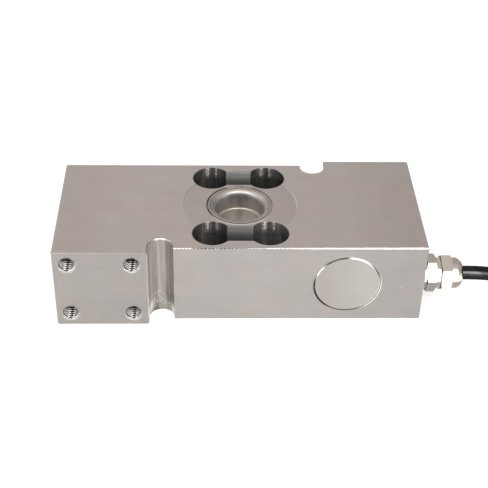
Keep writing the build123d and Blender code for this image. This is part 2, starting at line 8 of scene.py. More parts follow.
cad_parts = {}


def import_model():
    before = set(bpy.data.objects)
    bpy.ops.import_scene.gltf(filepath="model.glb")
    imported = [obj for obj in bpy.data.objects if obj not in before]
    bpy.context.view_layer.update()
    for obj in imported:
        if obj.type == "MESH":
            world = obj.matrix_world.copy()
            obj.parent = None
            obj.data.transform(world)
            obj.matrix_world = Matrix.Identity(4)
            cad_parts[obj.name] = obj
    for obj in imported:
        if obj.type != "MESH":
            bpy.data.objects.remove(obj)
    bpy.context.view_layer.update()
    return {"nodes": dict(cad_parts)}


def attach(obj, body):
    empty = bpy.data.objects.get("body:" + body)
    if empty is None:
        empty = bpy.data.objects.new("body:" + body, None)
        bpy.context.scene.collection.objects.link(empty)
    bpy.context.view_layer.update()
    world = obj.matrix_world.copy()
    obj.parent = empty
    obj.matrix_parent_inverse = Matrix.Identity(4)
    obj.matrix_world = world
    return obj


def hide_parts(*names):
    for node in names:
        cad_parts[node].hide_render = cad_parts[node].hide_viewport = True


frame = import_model()
print("frame loaded:", len(frame["nodes"]), "CAD nodes")

scene = bpy.context.scene
mm = 0.001

# The studio

cameraRig = {
    "place": (-0.01547, -0.44937, 0.35917),
    "yaw": 2.302,  # to the right of +Y, in degrees
    "pitch": 37.09,  # downwards
    "roll": 1.431,
    "lens": 82.69,
    "sensor": 36.0,
    "clip": (0.01, 50.0),
}

softboxes = {
    "rightSoftbox": {"azimuth": 27, "elevation": 33, "distance": 1.3, "size": (0.32, 0.92), "power": 8.0},
    "leftSoftbox": {"azimuth": -27, "elevation": 33, "distance": 1.3, "size": (0.27, 0.92), "power": 6.5},
}

floorLook = {"half": 6.0, "drop": 0.0002, "colour": (0.90, 0.90, 0.90, 1), "roughness": 0.9,
             "specular": 0.1, "glow": 0.42}

# Shares of the way to the front and upwards; a bearing is the share to the right over that to the front
skyLook = {
    "tint": (1.0, 0.97, 0.945, 1), "base": 0.64, "wall": (0.35, 0.85, 0.0, 1.15), "sideFall": 0.45,
    "gap": (-0.38, 0.14), "shade": (-0.30, 0.08), "shadeFront": (0.2, 0.35),
    "shadeTop": (0.61, 0.71, 0.85, 0.0),
}


def buildCamera():
    camera = bpy.data.cameras.new("photoCamera")
    camera.lens = cameraRig["lens"]
    camera.sensor_width = cameraRig["sensor"]
    camera.clip_start, camera.clip_end = cameraRig["clip"]
    rig = bpy.data.objects.new("photoCamera", camera)
    turn = Matrix.Rotation(radians(-cameraRig["yaw"]), 4, "Z")
    turn = turn @ Matrix.Rotation(radians(90 - cameraRig["pitch"]), 4, "X")
    turn = turn @ Matrix.Rotation(radians(cameraRig["roll"]), 4, "Z")
    rig.matrix_world = Matrix.Translation(cameraRig["place"]) @ turn
    scene.collection.objects.link(rig)
    scene.camera = rig


def buildSoftbox(name, look):
    # A rectangle light that looks at the block from an azimuth and an elevation
    light = bpy.data.lights.new(name, "AREA")
    light.shape = "RECTANGLE"
    light.size, light.size_y = look["size"]
    light.energy = look["power"]
    around, up = radians(look["azimuth"]), radians(look["elevation"])
    way = Vector((sin(around) * cos(up), -cos(around) * cos(up), sin(up)))
    lamp = bpy.data.objects.new(name, light)
    lamp.location = way * look["distance"]
    lamp.rotation_mode = "QUATERNION"
    lamp.rotation_quaternion = way.to_track_quat("Z", "Y")
    scene.collection.objects.link(lamp)


def buildSky():
    # A pale room, a little darker to the right. Its lit wall behind the camera has a gap where the camera
    # stands, and the camera itself is a dark shape in it
    look = skyLook
    sky = bpy.data.worlds.new("studioSky")
    sky.use_nodes = True
    tree = sky.node_tree
    right, back, up = splitAxes(tree.nodes.new("ShaderNodeTexCoord").outputs["Generated"])
    front = product(back, -1.0)
    bearing = calc("DIVIDE", right, calc("MAXIMUM", front, 0.05))
    lit = product(ramp(front, *look["wall"]), oneMinus(inside(bearing, *look["gap"])))
    shade = product(inside(bearing, *look["shade"]), ramp(front, *look["shadeFront"]),
                    ramp(up, *look["shadeTop"]))
    side = oneMinus(product(right, look["sideFall"]))
    background = tree.nodes["Background"]
    background.inputs["Color"].default_value = look["tint"]
    feed(background.inputs["Strength"], product(calc("ADD", lit, look["base"]), oneMinus(shade), side))
    scene.world = sky


def buildFloor():
    look = floorLook
    half, drop = look["half"], look["drop"]
    corners = [(-half, -half, -drop), (half, -half, -drop), (half, half, -drop), (-half, half, -drop)]
    mesh = bpy.data.meshes.new("studioFloor")
    mesh.from_pydata(corners, [], [(0, 1, 2, 3)])
    floor = bpy.data.objects.new("studioFloor", mesh)
    scene.collection.objects.link(floor)
    paper = startMaterial(
        "studioPaper", look["roughness"], Base_Color=look["colour"], Specular_IOR_Level=look["specular"],
        Emission_Color=(1, 1, 1, 1), Emission_Strength=look["glow"])[0]
    mesh.materials.append(paper)


# Node helpers


def feed(socket, value):
    # Link a socket to a socket, or set a plain value on it
    if isinstance(value, bpy.types.NodeSocket):
        socket.id_data.links.new(value, socket)
    else:
        socket.default_value = value


def nodeBeside(kind, *values):
    # A new node in the tree of the first socket among the values
    socket = next(value for value in values if isinstance(value, bpy.types.NodeSocket))
    return socket.id_data.nodes.new(kind)


def calc(operation, *values):
    node = nodeBeside("ShaderNodeMath", *values)
    node.operation = operation
    for socket, value in zip(node.inputs, values):
        feed(socket, value)
    return node.outputs[0]


def product(*factors):
    joined = factors[0]
    for factor in factors[1:]:
        joined = calc("MULTIPLY", joined, factor)
    return joined


def anyOf(*masks):
    joined = masks[0]
    for mask in masks[1:]:
        joined = calc("MAXIMUM", joined, mask)
    return joined


def oneMinus(value):
    return calc("SUBTRACT", 1.0, value)


def dimmed(mask, tone):
    # 1 outside the mask and the tone inside it
    return calc("MULTIPLY_ADD", mask, tone - 1, 1.0)


def vectorCalc(operation, *values):
    node = nodeBeside("ShaderNodeVectorMath", *values)
    node.operation = operation
    for socket, value in zip(node.inputs, values):
        feed(socket, value)
    return node.outputs["Value"] if operation in ("LENGTH", "DOT_PRODUCT") else node.outputs[0]


def ramp(value, low, high, toLow=0.0, toHigh=1.0):
    # Smooth step from low to high, put out between toLow and toHigh
    node = nodeBeside("ShaderNodeMapRange", value)
    node.interpolation_type = "SMOOTHSTEP"
    for name, number in (("Value", value), ("From Min", low), ("From Max", high), ("To Min", toLow),
                         ("To Max", toHigh)):
        feed(node.inputs[name], number)
    return node.outputs[0]


def fall(value, low, high):
    return ramp(value, low, high, 1.0, 0.0)


def past(value, edge, soft=0.05):
    return ramp(value, edge - soft, edge + soft)


def before(value, edge, soft=0.05):
    return fall(value, edge - soft, edge + soft)


def inside(value, low, high, soft=0.05):
    # 1 where the value lies between low and high, with soft edges
    return product(past(value, low, soft), before(value, high, soft))


def ringBand(radius, middle, band):
    # 1 in a ring; the band is how far it reaches in and out from the middle radius, and its softness
    inner, outer, soft = band
    return inside(radius, middle + inner, middle + outer, soft)


# The numbers of a Mix node's first, second and output sockets for each kind
mixSockets = {"FLOAT": (2, 3, 0), "VECTOR": (4, 5, 1), "RGBA": (6, 7, 2)}


def blend(kind, share, first, second, mode="MIX"):
    node = nodeBeside("ShaderNodeMix", share, first, second)
    node.data_type = kind
    node.blend_type = mode
    low, high, out = mixSockets[kind]
    feed(node.inputs[0], share)
    feed(node.inputs[low], first)
    feed(node.inputs[high], second)
    return node.outputs[out]


def blendColour(share, first, second, mode="MIX"):
    return blend("RGBA", share, first, second, mode)


def blendValue(share, first, second):
    return blend("FLOAT", share, first, second)


def blendNormal(share, first, second):
    return vectorCalc("NORMALIZE", blend("VECTOR", share, first, second))


def bandColour(value, bands):
    # Colours laid out along a value; each band is a place from 0 to 1 and its colour
    node = nodeBeside("ShaderNodeValToRGB", value)
    stops = node.color_ramp.elements
    for place, colour in bands[1:-1]:
        stops.new(place).color = (*colour, 1)
    for stop, (place, colour) in ((stops[0], bands[0]), (stops[len(bands) - 1], bands[-1])):
        stop.position = place
        stop.color = (*colour, 1)
    feed(node.inputs[0], value)
    return node.outputs[0]


def noise(place, scale, detail=2.0, roughness=0.5):
    node = nodeBeside("ShaderNodeTexNoise", place)
    for name, value in (("Vector", place), ("Scale", scale), ("Detail", detail), ("Roughness", roughness)):
        feed(node.inputs[name], value)
    return node.outputs[0]


def bumpFrom(height, distance=0.00001, strength=0.5, normal=None):
    node = nodeBeside("ShaderNodeBump", height)
    for name, value in (("Height", height), ("Distance", distance), ("Strength", strength)):
        feed(node.inputs[name], value)
    if normal is not None:
        feed(node.inputs["Normal"], normal)
    return node.outputs[0]


def tint(colour, tone):
    # The colour times a plain tone
    toned = nodeBeside("ShaderNodeCombineColor", tone)
    for socket in toned.inputs[:3]:
        feed(socket, tone)
    return blendColour(1.0, colour, toned.outputs[0], "MULTIPLY")


def joinAxes(x, y, z):
    node = nodeBeside("ShaderNodeCombineXYZ", x, y, z)
    for socket, value in zip(node.inputs, (x, y, z)):
        feed(socket, value)
    return node.outputs[0]


def splitAxes(vector):
    node = nodeBeside("ShaderNodeSeparateXYZ", vector)
    feed(node.inputs[0], vector)
    return node.outputs[0], node.outputs[1], node.outputs[2]


def leanNormal(tree, lean=(0.0, 0.0, 0.0)):
    # The surface normal leant by the given slopes
    normal = tree.nodes.new("ShaderNodeNewGeometry").outputs["Normal"]
    return vectorCalc("NORMALIZE", vectorCalc("ADD", normal, lean))


def millimetres(tree):
    # Object coordinates in millimetres
    place = tree.nodes.new("ShaderNodeTexCoord").outputs["Object"]
    return vectorCalc("MULTIPLY", place, (1000, 1000, 1000))


def facing(tree):
    # How much the surface faces along each axis
    return splitAxes(tree.nodes.new("ShaderNodeTexCoord").outputs["Normal"])


def attribute(tree, name):
    node = tree.nodes.new("ShaderNodeAttribute")
    node.attribute_name = name
    return node.outputs["Fac"]


def grey(value, warmth=0.0):
    return (value * (1 + warmth), value, value * (1 - warmth), 1)


def startMaterial(name, roughness, metallic=0.0, **constants):
    material = bpy.data.materials.new(name)
    material.use_nodes = True
    shader = material.node_tree.nodes["Principled BSDF"]
    shader.inputs["Roughness"].default_value = roughness
    shader.inputs["Metallic"].default_value = metallic
    for socket, value in constants.items():
        shader.inputs[socket.replace("_", " ")].default_value = value
    return material, material.node_tree, shader


scene.view_settings.view_transform = "Standard"
buildCamera()
buildSky()
buildFloor()
for name, look in softboxes.items():
    buildSoftbox(name, look)
print("studio ready")

# Shared effects, each a node group


def startGroup(name, inputs, outputs):
    group = bpy.data.node_groups.new(name, "ShaderNodeTree")
    for label, kind, value in inputs:
        socket = group.interface.new_socket(label, in_out="INPUT", socket_type=kind)
        socket.default_value = value
    for label in outputs:
        group.interface.new_socket(label, in_out="OUTPUT", socket_type="NodeSocketFloat")
    return group, group.nodes.new("NodeGroupInput").outputs, group.nodes.new("NodeGroupOutput").inputs


def placeGroup(tree, group, **values):
    node = tree.nodes.new("ShaderNodeGroup")
    node.node_tree = group
    for label, value in values.items():
        feed(node.inputs[label], value)
    return node.outputs


grindLook = {"fineDetail": (1.0, 3.0, 0.6), "fineShare": 0.65, "wideDetail": (0.23, 2.0, 0.5),
             "wideShare": 0.35}


def buildGrindGroup():
    # Fine parallel scratches: noise squeezed across one direction, and a slow cloud over it
    look = grindLook
    group, given, made = startGroup("grindMarks", [
        ("Squeeze", "NodeSocketVector", (0.06, 4.0, 4.0)),
        ("CloudSize", "NodeSocketFloat", 18.0),
    ], ["Scratch", "Cloud"])
    place = millimetres(group)
    squeezed = vectorCalc("MULTIPLY", place, given["Squeeze"])
    fine = product(noise(squeezed, *look["fineDetail"]), look["fineShare"])
    wide = product(noise(squeezed, *look["wideDetail"]), look["wideShare"])
    feed(made["Scratch"], calc("ADD", fine, wide))
    feed(made["Cloud"], noise(place, calc("DIVIDE", 1.0, given["CloudSize"])))
    return group


turnLook = {"aroundSize": 0.05, "aroundShare": 1.5, "cloudSize": 0.12}


def buildTurnGroup():
    # Marks of turning: noise along the distance from an axis, with a slow change round it
    look = turnLook
    group, given, made = startGroup("turnMarks", [
        ("Centre", "NodeSocketVector", (0.0, 0.0, 0.0)),
        ("Across", "NodeSocketVector", (1.0, 1.0, 0.0)),
        ("Along", "NodeSocketVector", (0.0, 0.0, 1.0)),
        ("Pitch", "NodeSocketFloat", 0.2),
    ], ["Ring", "Radius", "Cloud"])
    place = vectorCalc("SUBTRACT", millimetres(group), given["Centre"])
    radius = vectorCalc("LENGTH", vectorCalc("MULTIPLY", place, given["Across"]))
    height = vectorCalc("DOT_PRODUCT", place, given["Along"])
    around = product(noise(place, look["aroundSize"], 1.0), look["aroundShare"])
    joined = joinAxes(calc("DIVIDE", radius, given["Pitch"]), calc("DIVIDE", height, given["Pitch"]), around)
    feed(made["Ring"], noise(joined, 1.0, 2.0, 0.6))
    feed(made["Radius"], radius)
    feed(made["Cloud"], noise(place, look["cloudSize"]))
    return group


speckLook = {"slowSize": 0.15, "level": 0.86, "soft": 0.08}


def buildSpeckGroup():
    # Dust and pits: the peaks of a fine noise, thinned out by a slow one
    look = speckLook
    group, given, made = startGroup("specks", [
        ("Size", "NodeSocketFloat", 0.3),
        ("Cover", "NodeSocketFloat", 0.35),
    ], ["Mask", "Grain"])
    place = millimetres(group)
    fine = noise(place, calc("DIVIDE", 1.0, given["Size"]), 3.0, 0.6)
    slow = noise(place, look["slowSize"])
    level = calc("SUBTRACT", look["level"], product(given["Cover"], slow))
    feed(made["Mask"], ramp(fine, level, calc("ADD", level, look["soft"])))
    feed(made["Grain"], fine)
    return group


# The painted highlights and dark stretches of the ring round the cover disc, by the clock seen from the
# front, in degrees: where each stretch begins and ends, and how softly
arcLook = {
    "start": (-4.0, 6.0), "litEnd": (30.0, 95.0), "wideEnd": (25.0, 60.0), "leftLit": (-74.0, -46.0, 6.0),
    "pale": (80.0, 150.0, 15.0), "topDark": (-42.0, -2.0, 5.0), "leftDark": (-145.0, -82.0, 8.0),
}


def buildArcGroup():
    look = arcLook
    group, given, made = startGroup("discArcs", [
        ("Centre", "NodeSocketVector", (51.0, 0.0, 21.7)),
    ], ["Lit", "Wide", "Pale", "Dark"])
    outward = splitAxes(vectorCalc("SUBTRACT", millimetres(group), given["Centre"]))
    clock = calc("DEGREES", calc("ARCTAN2", outward[0], outward[2]))
    begun = ramp(clock, *look["start"])
    lit = product(begun, fall(clock, *look["litEnd"]))
    feed(made["Lit"], anyOf(lit, inside(clock, *look["leftLit"])))
    feed(made["Wide"], product(begun, fall(clock, *look["wideEnd"])))
    feed(made["Pale"], inside(clock, *look["pale"]))
    feed(made["Dark"], anyOf(inside(clock, *look["topDark"]), inside(clock, *look["leftDark"])))
    return group


discArcs = buildArcGroup()
grindMarks = buildGrindGroup()
turnMarks = buildTurnGroup()
specks = buildSpeckGroup()

# The steel of the block

# Where its finish changes, in millimetres of the block
blockZones = {
    "height": 43.4, "faceY": 35.4, "discX": 51.0, "discZ": 21.7,
    "slotOuterX": 23.1, "slotFlatX": 6.4, "slotInnerY": 13.9, "slotOuterY": 32.95, "holeX": 13.55,
    "notchX": 37.8, "notchHalf": 6.05, "notchFromY": 27.5,
    "spotRadius": 28.0, "seatRadius": 16.05, "seatRim": 17.5,
}

# How squarely a face, an upright wall and a broken edge look along an axis
faceLimits = {"flat": (0.80, 0.95), "upright": (0.10, 0.40), "edge": (0.45, 0.90, 0.10)}

halves = (-1.0, 1.0)  # over this stretch the tone of one half of the block gives way to the other's


def blockSurface(tree, radius, top):
    # Where a point of the block lies, in millimetres, which way it faces, and on which kind of face it is
    zones, limits = blockZones, faceLimits
    at = SimpleNamespace(place=millimetres(tree), radius=radius)
    at.x, at.y, at.z = splitAxes(at.place)
    at.absX, at.absY = calc("ABSOLUTE", at.x), calc("ABSOLUTE", at.y)
    at.padward = product(at.x, calc("SIGN", at.y))
    at.normalY, at.normalZ = facing(tree)[1:]
    at.acrossY, at.acrossZ = calc("ABSOLUTE", at.normalY), calc("ABSOLUTE", at.normalZ)
    at.level = ramp(at.acrossZ, *limits["flat"])
    at.broad = ramp(at.acrossY, *limits["flat"])
    at.upright = fall(at.acrossZ, *limits["upright"])
    at.edge = product(inside(at.acrossY, *limits["edge"]), inside(at.acrossZ, *limits["edge"]))
    at.onPad = ramp(at.absY, zones["faceY"] + 0.2, zones["faceY"] + 1.0)
    at.inSpot = product(at.level, before(radius, zones["spotRadius"]))
    at.top = tint(top["colour"], ramp(at.absX, *top["reach"], *top["tones"]))
    return at


# The rim colour is a painted highlight; the side's tones paint shade towards the right
groundLook = {
    "top": {"colour": (0.570, 0.512, 0.490, 1), "reach": (52.0, 80.0), "tones": (1.09, 1.01)},
    "side": {"colour": (0.334, 0.317, 0.304, 1), "reach": (20.0, 85.0), "tones": (1.0, 0.93)},
    "pad": (0.302, 0.285, 0.271, 1), "end": (0.41, 0.39, 0.37, 1), "spot": (0.560, 0.503, 0.482, 1),
    "rim": (0.98, 0.95, 0.91, 1), "rimBand": (-0.16, 0.22, 0.1), "rimSlant": 0.8,
    "rimLit": (22.0, 32.0, 0.10, 1.0),
}


def groundColour(at):
    # Ground sides, pads, ends and top, with painted shade on the sides to the right, and the turned spot
    # face whose rim has a painted highlight towards the back and right
    look, side = groundLook, groundLook["side"]
    sideColour = tint(side["colour"], ramp(at.x, *side["reach"], *side["tones"]))
    colour = blendColour(at.broad, look["end"], sideColour)
    colour = blendColour(product(at.onPad, at.broad), colour, look["pad"])
    colour = blendColour(at.level, colour, at.top)
    colour = blendColour(at.inSpot, colour, look["spot"])
    rim = ringBand(at.radius, blockZones["spotRadius"], look["rimBand"])
    slant = calc("ADD", at.x, product(at.y, look["rimSlant"]))
    lit = ramp(slant, *look["rimLit"])
    return blendColour(product(rim, lit, at.level), colour, look["rim"])


# Painted light and shade round the cup: a highlight line in front, a shadow on the left, shade behind
# Round the cup: bands by the distance from the seat, and shares of the way to the right and to the back
seatLook = {
    "light": (0.85, 0.81, 0.74, 1), "lightBand": (-0.1, 0.85, 0.15), "lightBack": (-0.85, -0.45),
    "shadow": (0.035, 0.03, 0.027, 1), "shadowBand": (-0.1, 0.30, 0.06), "shadowRight": (-0.75, -0.35),
    "shadowBack": (-0.75, -0.45),
    "behind": 0.72, "behindBand": (-0.6, 0.55, 0.10), "behindBack": (0.55, 0.85),
}


def seatRing(at, colour):
    # A painted highlight line along the front of the cup and a painted shadow on the left; also gives the
    # painted shade behind it
    look, seat = seatLook, blockZones["seatRadius"]
    right, back = calc("DIVIDE", at.x, at.radius), calc("DIVIDE", at.y, at.radius)
    light = product(ringBand(at.radius, seat, look["lightBand"]), at.level, fall(back, *look["lightBack"]))
    shadow = product(ringBand(at.radius, seat, look["shadowBand"]), at.level,
                     fall(right, *look["shadowRight"]), ramp(back, *look["shadowBack"]))
    behind = product(ringBand(at.radius, seat, look["behindBand"]), ramp(back, *look["behindBack"]))
    colour = blendColour(light, colour, look["light"])
    return blendColour(shadow, colour, look["shadow"]), dimmed(behind, look["behind"])


# Painted shade: dark holes and flats darker with depth; painted highlights: streaks and lighter sides
slotLook = {
    "hole": (0.172, 0.167, 0.158, 1), "holeRoughness": 0.10, "holeTones": (1.15, 0.72),  # left, right
    "frontHoles": (1.0, 1.35), "backHoles": (0.93, 0.82),  # left and right hole
    "flat": (0.455, 0.450, 0.438, 1), "flatRoughness": 0.30, "flatDepth": 13.0,
    "flatTones": (0.50, 1.05), "flatHalves": (0.96, 1.08),
    "film": 0.18,  # share of the wall that is dull, not mirror
    "grooves": (80.0, 93.0),  # level grooves in a millimetre, of two cuts
    "tiltDepth": (8.0, 0.3), "tilts": (0.45, 1.5), "flatTilt": 0.65,
    "streakSize": (2.6, 2.6, 0.06), "streakTones": (0.30, 0.70, 0.70, 1.35),
}


def slotTilt(at, flat):
    # Fine level grooves tilt the wall up and down by chance, most near the mouth
    look, height = slotLook, blockZones["height"]
    chance = []
    for pitch in look["grooves"]:
        thinLine = nodeBeside("ShaderNodeTexWhiteNoise", at.z)
        thinLine.noise_dimensions = "1D"
        feed(thinLine.inputs["W"], calc("FLOOR", product(at.z, pitch)))
        chance.append(thinLine.outputs["Value"])
    deep, shallow = look["tiltDepth"]
    reach = ramp(at.z, height - deep, height - shallow, *look["tilts"])
    return product(calc("SUBTRACT", *chance), reach, dimmed(flat, look["flatTilt"]))


def slotWalls(at):
    # Milled slots: where they are, their flats, their colour in painted shade and highlight, and their tilt
    look, zones = slotLook, blockZones
    inSlot = product(inside(at.absY, zones["slotInnerY"], zones["slotOuterY"]),
                     inside(at.absX, -1.0, zones["slotOuterX"]), at.upright)
    flat = product(at.broad, fall(at.absX, zones["slotFlatX"], zones["slotFlatX"] + 0.1))
    highlightStreak = noise(vectorCalc("MULTIPLY", at.place, look["streakSize"]), 1.0)
    fromHole = calc("SUBTRACT", at.x, product(calc("SIGN", at.x), zones["holeX"]))
    front = ramp(at.x, *halves, *look["frontHoles"])
    back = ramp(at.x, *halves, *look["backHoles"])
    holeLightAndShade = product(ramp(highlightStreak, *look["streakTones"]), ramp(fromHole, *halves, *look["holeTones"]),
                       ramp(at.y, *halves, front, back))
    flatShade = product(ramp(at.z, zones["height"] - look["flatDepth"], zones["height"], *look["flatTones"]),
                       ramp(at.y, *halves, *look["flatHalves"]))
    colour = blendColour(flat, tint(look["hole"], holeLightAndShade), tint(look["flat"], flatShade))
    return inSlot, flat, colour, product(slotTilt(at, flat), inSlot)


# Painted light and shade across a half-round notch, by millimetres from its middle towards the pad's end
paintedNotchBands = (
    (-5.1, (0.50, 0.49, 0.46)), (-4.5, (0.28, 0.27, 0.24)), (-2.8, (0.21, 0.20, 0.18)),
    (-1.6, (0.33, 0.31, 0.28)), (0.0, (0.30, 0.28, 0.25)), (1.6, (0.34, 0.32, 0.29)),
    (2.6, (0.26, 0.23, 0.21)), (4.0, (0.46, 0.43, 0.41)), (5.1, (0.95, 0.90, 0.88)),
)

notchLook = {
    "cutterSize": (1.4, 1.4, 0.05), "cutterTones": (0.30, 0.70, 0.88, 1.12), "waver": 0.6,
    "footHeight": (0.5, 8.0), "footMiddle": (-2.4, -1.2, 1.0, 0.82), "footOuter": (1.0, 2.4),
    "footTone": 0.42, "scuff": (0.62, 0.59, 0.55, 1), "scuffSize": (0.9, 0.9, 0.5),
    "scuffLevel": (0.53, 0.62), "scuffHeight": (3.0, 13.0, 2.0), "scuffShare": 0.5,
}


def notchWalls(at):
    # Milled half-round notches in painted light and shade, darker at the foot and scuffed above it: where
    # they are and their colour
    look, zones = notchLook, blockZones
    half = zones["notchHalf"]
    fromNotch = calc("SUBTRACT", at.padward, zones["notchX"])
    inNotch = product(before(calc("ABSOLUTE", fromNotch), half), at.upright,
                      ramp(at.absY, zones["notchFromY"], zones["notchFromY"] + 0.3))
    cutter = noise(vectorCalc("MULTIPLY", at.place, look["cutterSize"]), 1.0)
    waver = calc("MULTIPLY_ADD", cutter, look["waver"], -look["waver"] / 2)
    across = calc("ADD", fromNotch, waver)
    colour = bandColour(calc("MULTIPLY_ADD", across, 0.5 / half, 0.5),
                        [(0.5 + 0.5 * place / half, shade) for place, shade in paintedNotchBands])
    foot = ramp(across, *look["footOuter"], ramp(across, *look["footMiddle"]), look["footTone"])
    tone = product(ramp(cutter, *look["cutterTones"]), ramp(at.z, *look["footHeight"], foot, 1.0))
    colour = tint(colour, tone)
    scuff = noise(vectorCalc("MULTIPLY", at.place, look["scuffSize"]), 1.0, 4.0, 0.7)
    scuffed = product(ramp(scuff, *look["scuffLevel"]), inside(at.z, *look["scuffHeight"]),
                      look["scuffShare"])
    return inNotch, blendColour(scuffed, colour, look["scuff"])


grainLook = {
    "scratchShare": 0.26, "cloudShare": 0.14, "roughness": 0.36, "roughSpread": 0.10, "edgePolish": 0.14,
    "warm": (1.02, 0.995, 0.99, 1), "cool": (0.98, 1.005, 1.01, 1), "hueSize": 0.055,
    "hueLevel": (0.35, 0.65), "smudgeX": 77.0, "smudgeZ": 20.0, "smudge": (0.2, 1.6, 0.10, 0.0),
}


def grained(at, colour, mark, cloud, behind):
    # Grain, a slow change of hue, the painted shade behind the cup, and one smudge over all of it
    look = grainLook
    share = look["scratchShare"] + look["cloudShare"]
    tone = calc("ADD", 1 - share / 2, product(mark, look["scratchShare"]))
    tone = calc("ADD", tone, product(cloud, look["cloudShare"]))
    colour = tint(colour, product(tone, behind))
    hue = ramp(noise(at.place, look["hueSize"]), *look["hueLevel"])
    colour = blendColour(1.0, colour, blendColour(hue, look["cool"], look["warm"]), "MULTIPLY")
    sideways = calc("ABSOLUTE", calc("SUBTRACT", at.x, look["smudgeX"]))
    upwards = calc("ABSOLUTE", calc("SUBTRACT", at.z, look["smudgeZ"]))
    smudge = product(ramp(calc("ADD", sideways, upwards), *look["smudge"]), at.broad)
    return blendColour(smudge, colour, edgeLook["plain"])


# Edges: plain partly polish, partly painted highlight; bright for painted highlights; the rest painted shade
edgeLook = {
    "plain": (0.80, 0.78, 0.75, 1), "slotRim": (0.27, 0.25, 0.235, 1), "bright": (0.32, 0.315, 0.31, 1),
    "dark": (0.10, 0.09, 0.085, 1), "pad": (0.34, 0.32, 0.29, 1), "padTones": (-84.0, -46.0, 0.62, 1.15),
}


def plainEdges(at, colour):
    # Broken edges all round, partly a painted highlight; painted shade at the cup's seat, slots and pads
    look, zones = edgeLook, blockZones
    inSeat = before(at.radius, zones["seatRim"], 0.1)
    colour = blendColour(product(at.edge, oneMinus(inSeat)), colour, look["plain"])
    colour = blendColour(product(at.edge, inSeat), colour, look["slotRim"])
    padEdge = tint(look["pad"], ramp(at.x, *look["padTones"]))
    colour = blendColour(product(at.edge, at.onPad), colour, padEdge)
    slotRim = product(at.edge, fall(at.absY, zones["slotOuterY"] + 0.5, zones["slotOuterY"] + 0.6),
                      inside(at.absX, -1.0, zones["slotOuterX"] + 0.5))
    return blendColour(slotRim, colour, look["slotRim"])


# Painted light on the front edge: bright dashes are highlights, dark dashes painted dark reflections
# The broken front edge, in millimetres along it; a cover is a stretch and how bright its two ends are
edgeDashes = {
    "from": -31.9, "pitch": 1.8, "drift": 5.0, "driftShare": 6.0, "brightFrom": (0.98, 1.12),
    "covers": ((-23.2, -22.6, 0.62, 0.0), (-2.5, -0.5, 0.0, 0.11), (-1.5, 14.0, 0.0, 0.36),
               (14.0, 30.0, 0.0, 0.82), (24.0, 34.0, 0.0, 1.2)),
    "darkStretch": (-22.9, 14.0, 1.0), "darkFrom": (0.40, 0.55),
    "topBand": 0.42, "sideBand": 0.52, "shineTop": 0.26, "shineSide": 0.36, "soft": 0.02,
    "lean": 0.13, "leanFall": -0.0009, "lightward": (-0.75, 0.66),
}


def dashMasks(x):
    # Painted dashes along the front edge: white by the notch, dark in the middle, then more and more white
    look = edgeDashes
    line = nodeBeside("ShaderNodeTexNoise", x)
    line.noise_dimensions = "1D"
    feed(line.inputs["W"], calc("DIVIDE", x, look["drift"]))
    feed(line.inputs["Detail"], 2.0)
    drift = product(line.outputs[0], look["driftShare"])
    phase = calc("MULTIPLY_ADD", x, 2 * pi / look["pitch"], drift)
    wave = calc("MULTIPLY_ADD", calc("SINE", phase), 0.5, 0.5)
    cover = anyOf(*(ramp(x, *stretch) for stretch in look["covers"]))
    bright = ramp(calc("ADD", wave, cover), *look["brightFrom"])
    dark = product(ramp(wave, *look["darkFrom"]), inside(x, *look["darkStretch"]))
    return bright, dark


def dashedEdge(at, colour):
    # The front edge, broken by hand: the colour with painted dashes, where it is and the painted highlight
    look, soft = edgeDashes, edgeDashes["soft"]
    face, top = -blockZones["faceY"], blockZones["height"]
    onEdge = product(ramp(at.x, look["from"], look["from"] + 0.1),
                     inside(at.y, face - 0.3, face + look["topBand"], soft),
                     past(at.z, top - look["sideBand"], soft))
    bright, dark = dashMasks(at.x)
    bright = product(bright, before(at.y, face + look["shineTop"], soft),
                     past(at.z, top - look["shineSide"], soft))
    dashed = blendColour(product(dark, at.edge), at.top, edgeLook["dark"])
    dashed = blendColour(bright, dashed, edgeLook["bright"])
    colour = blendColour(product(onEdge, anyOf(at.edge, bright)), colour, dashed)
    return colour, onEdge, product(onEdge, bright)


# Painted highlight on the lower half of each countersink: its colour, and a normal leant to the softbox
mouthLook = {"colour": (0.17, 0.167, 0.163, 1), "slope": (0.45, 0.93, 0.02), "upward": (0.20, 0.36),
             "margin": 1.0, "padFrom": 46.0, "padTo": 86.0}


def mouthMask(at):
    # The lower half of each countersink in the front pad, where the painted highlight goes
    look, height = mouthLook, blockZones["height"]
    return product(
        at.onPad, inside(at.acrossY, *look["slope"]), ramp(at.normalZ, *look["upward"]),
        fall(at.y, -1.0, 0.0), fall(at.z, height - look["margin"], height - look["margin"] + 0.1),
        ramp(at.z, look["margin"], look["margin"] + 0.1),
        ramp(at.padward, look["padFrom"], look["padFrom"] + 0.2),
        fall(at.absX, look["padTo"], look["padTo"] + 0.2))


seatArcs = {"band": (-0.1, 0.34, 0.05), "frontward": (-0.95, -0.80), "from": (30.0, 31.0)}


def discSeat(tree, at, colour):
    # Ring between the cover disc and its seat, painted pale, lit and dark in turns: colour and lit part
    look, zones = seatArcs, blockZones
    outward = joinAxes(calc("SUBTRACT", at.x, zones["discX"]), calc("SUBTRACT", at.z, zones["discZ"]), 0.0)
    ring = product(ringBand(vectorCalc("LENGTH", outward), zones["seatRadius"], look["band"]),
                   fall(at.normalY, *look["frontward"]), ramp(at.x, *look["from"]))
    arcs = placeGroup(tree, discArcs)
    lit = product(ring, arcs["Wide"])
    colour = blendColour(product(ring, arcs["Pale"]), colour, groundLook["rim"])
    colour = blendColour(lit, colour, edgeLook["bright"])
    return blendColour(product(ring, arcs["Dark"]), colour, edgeLook["dark"]), lit


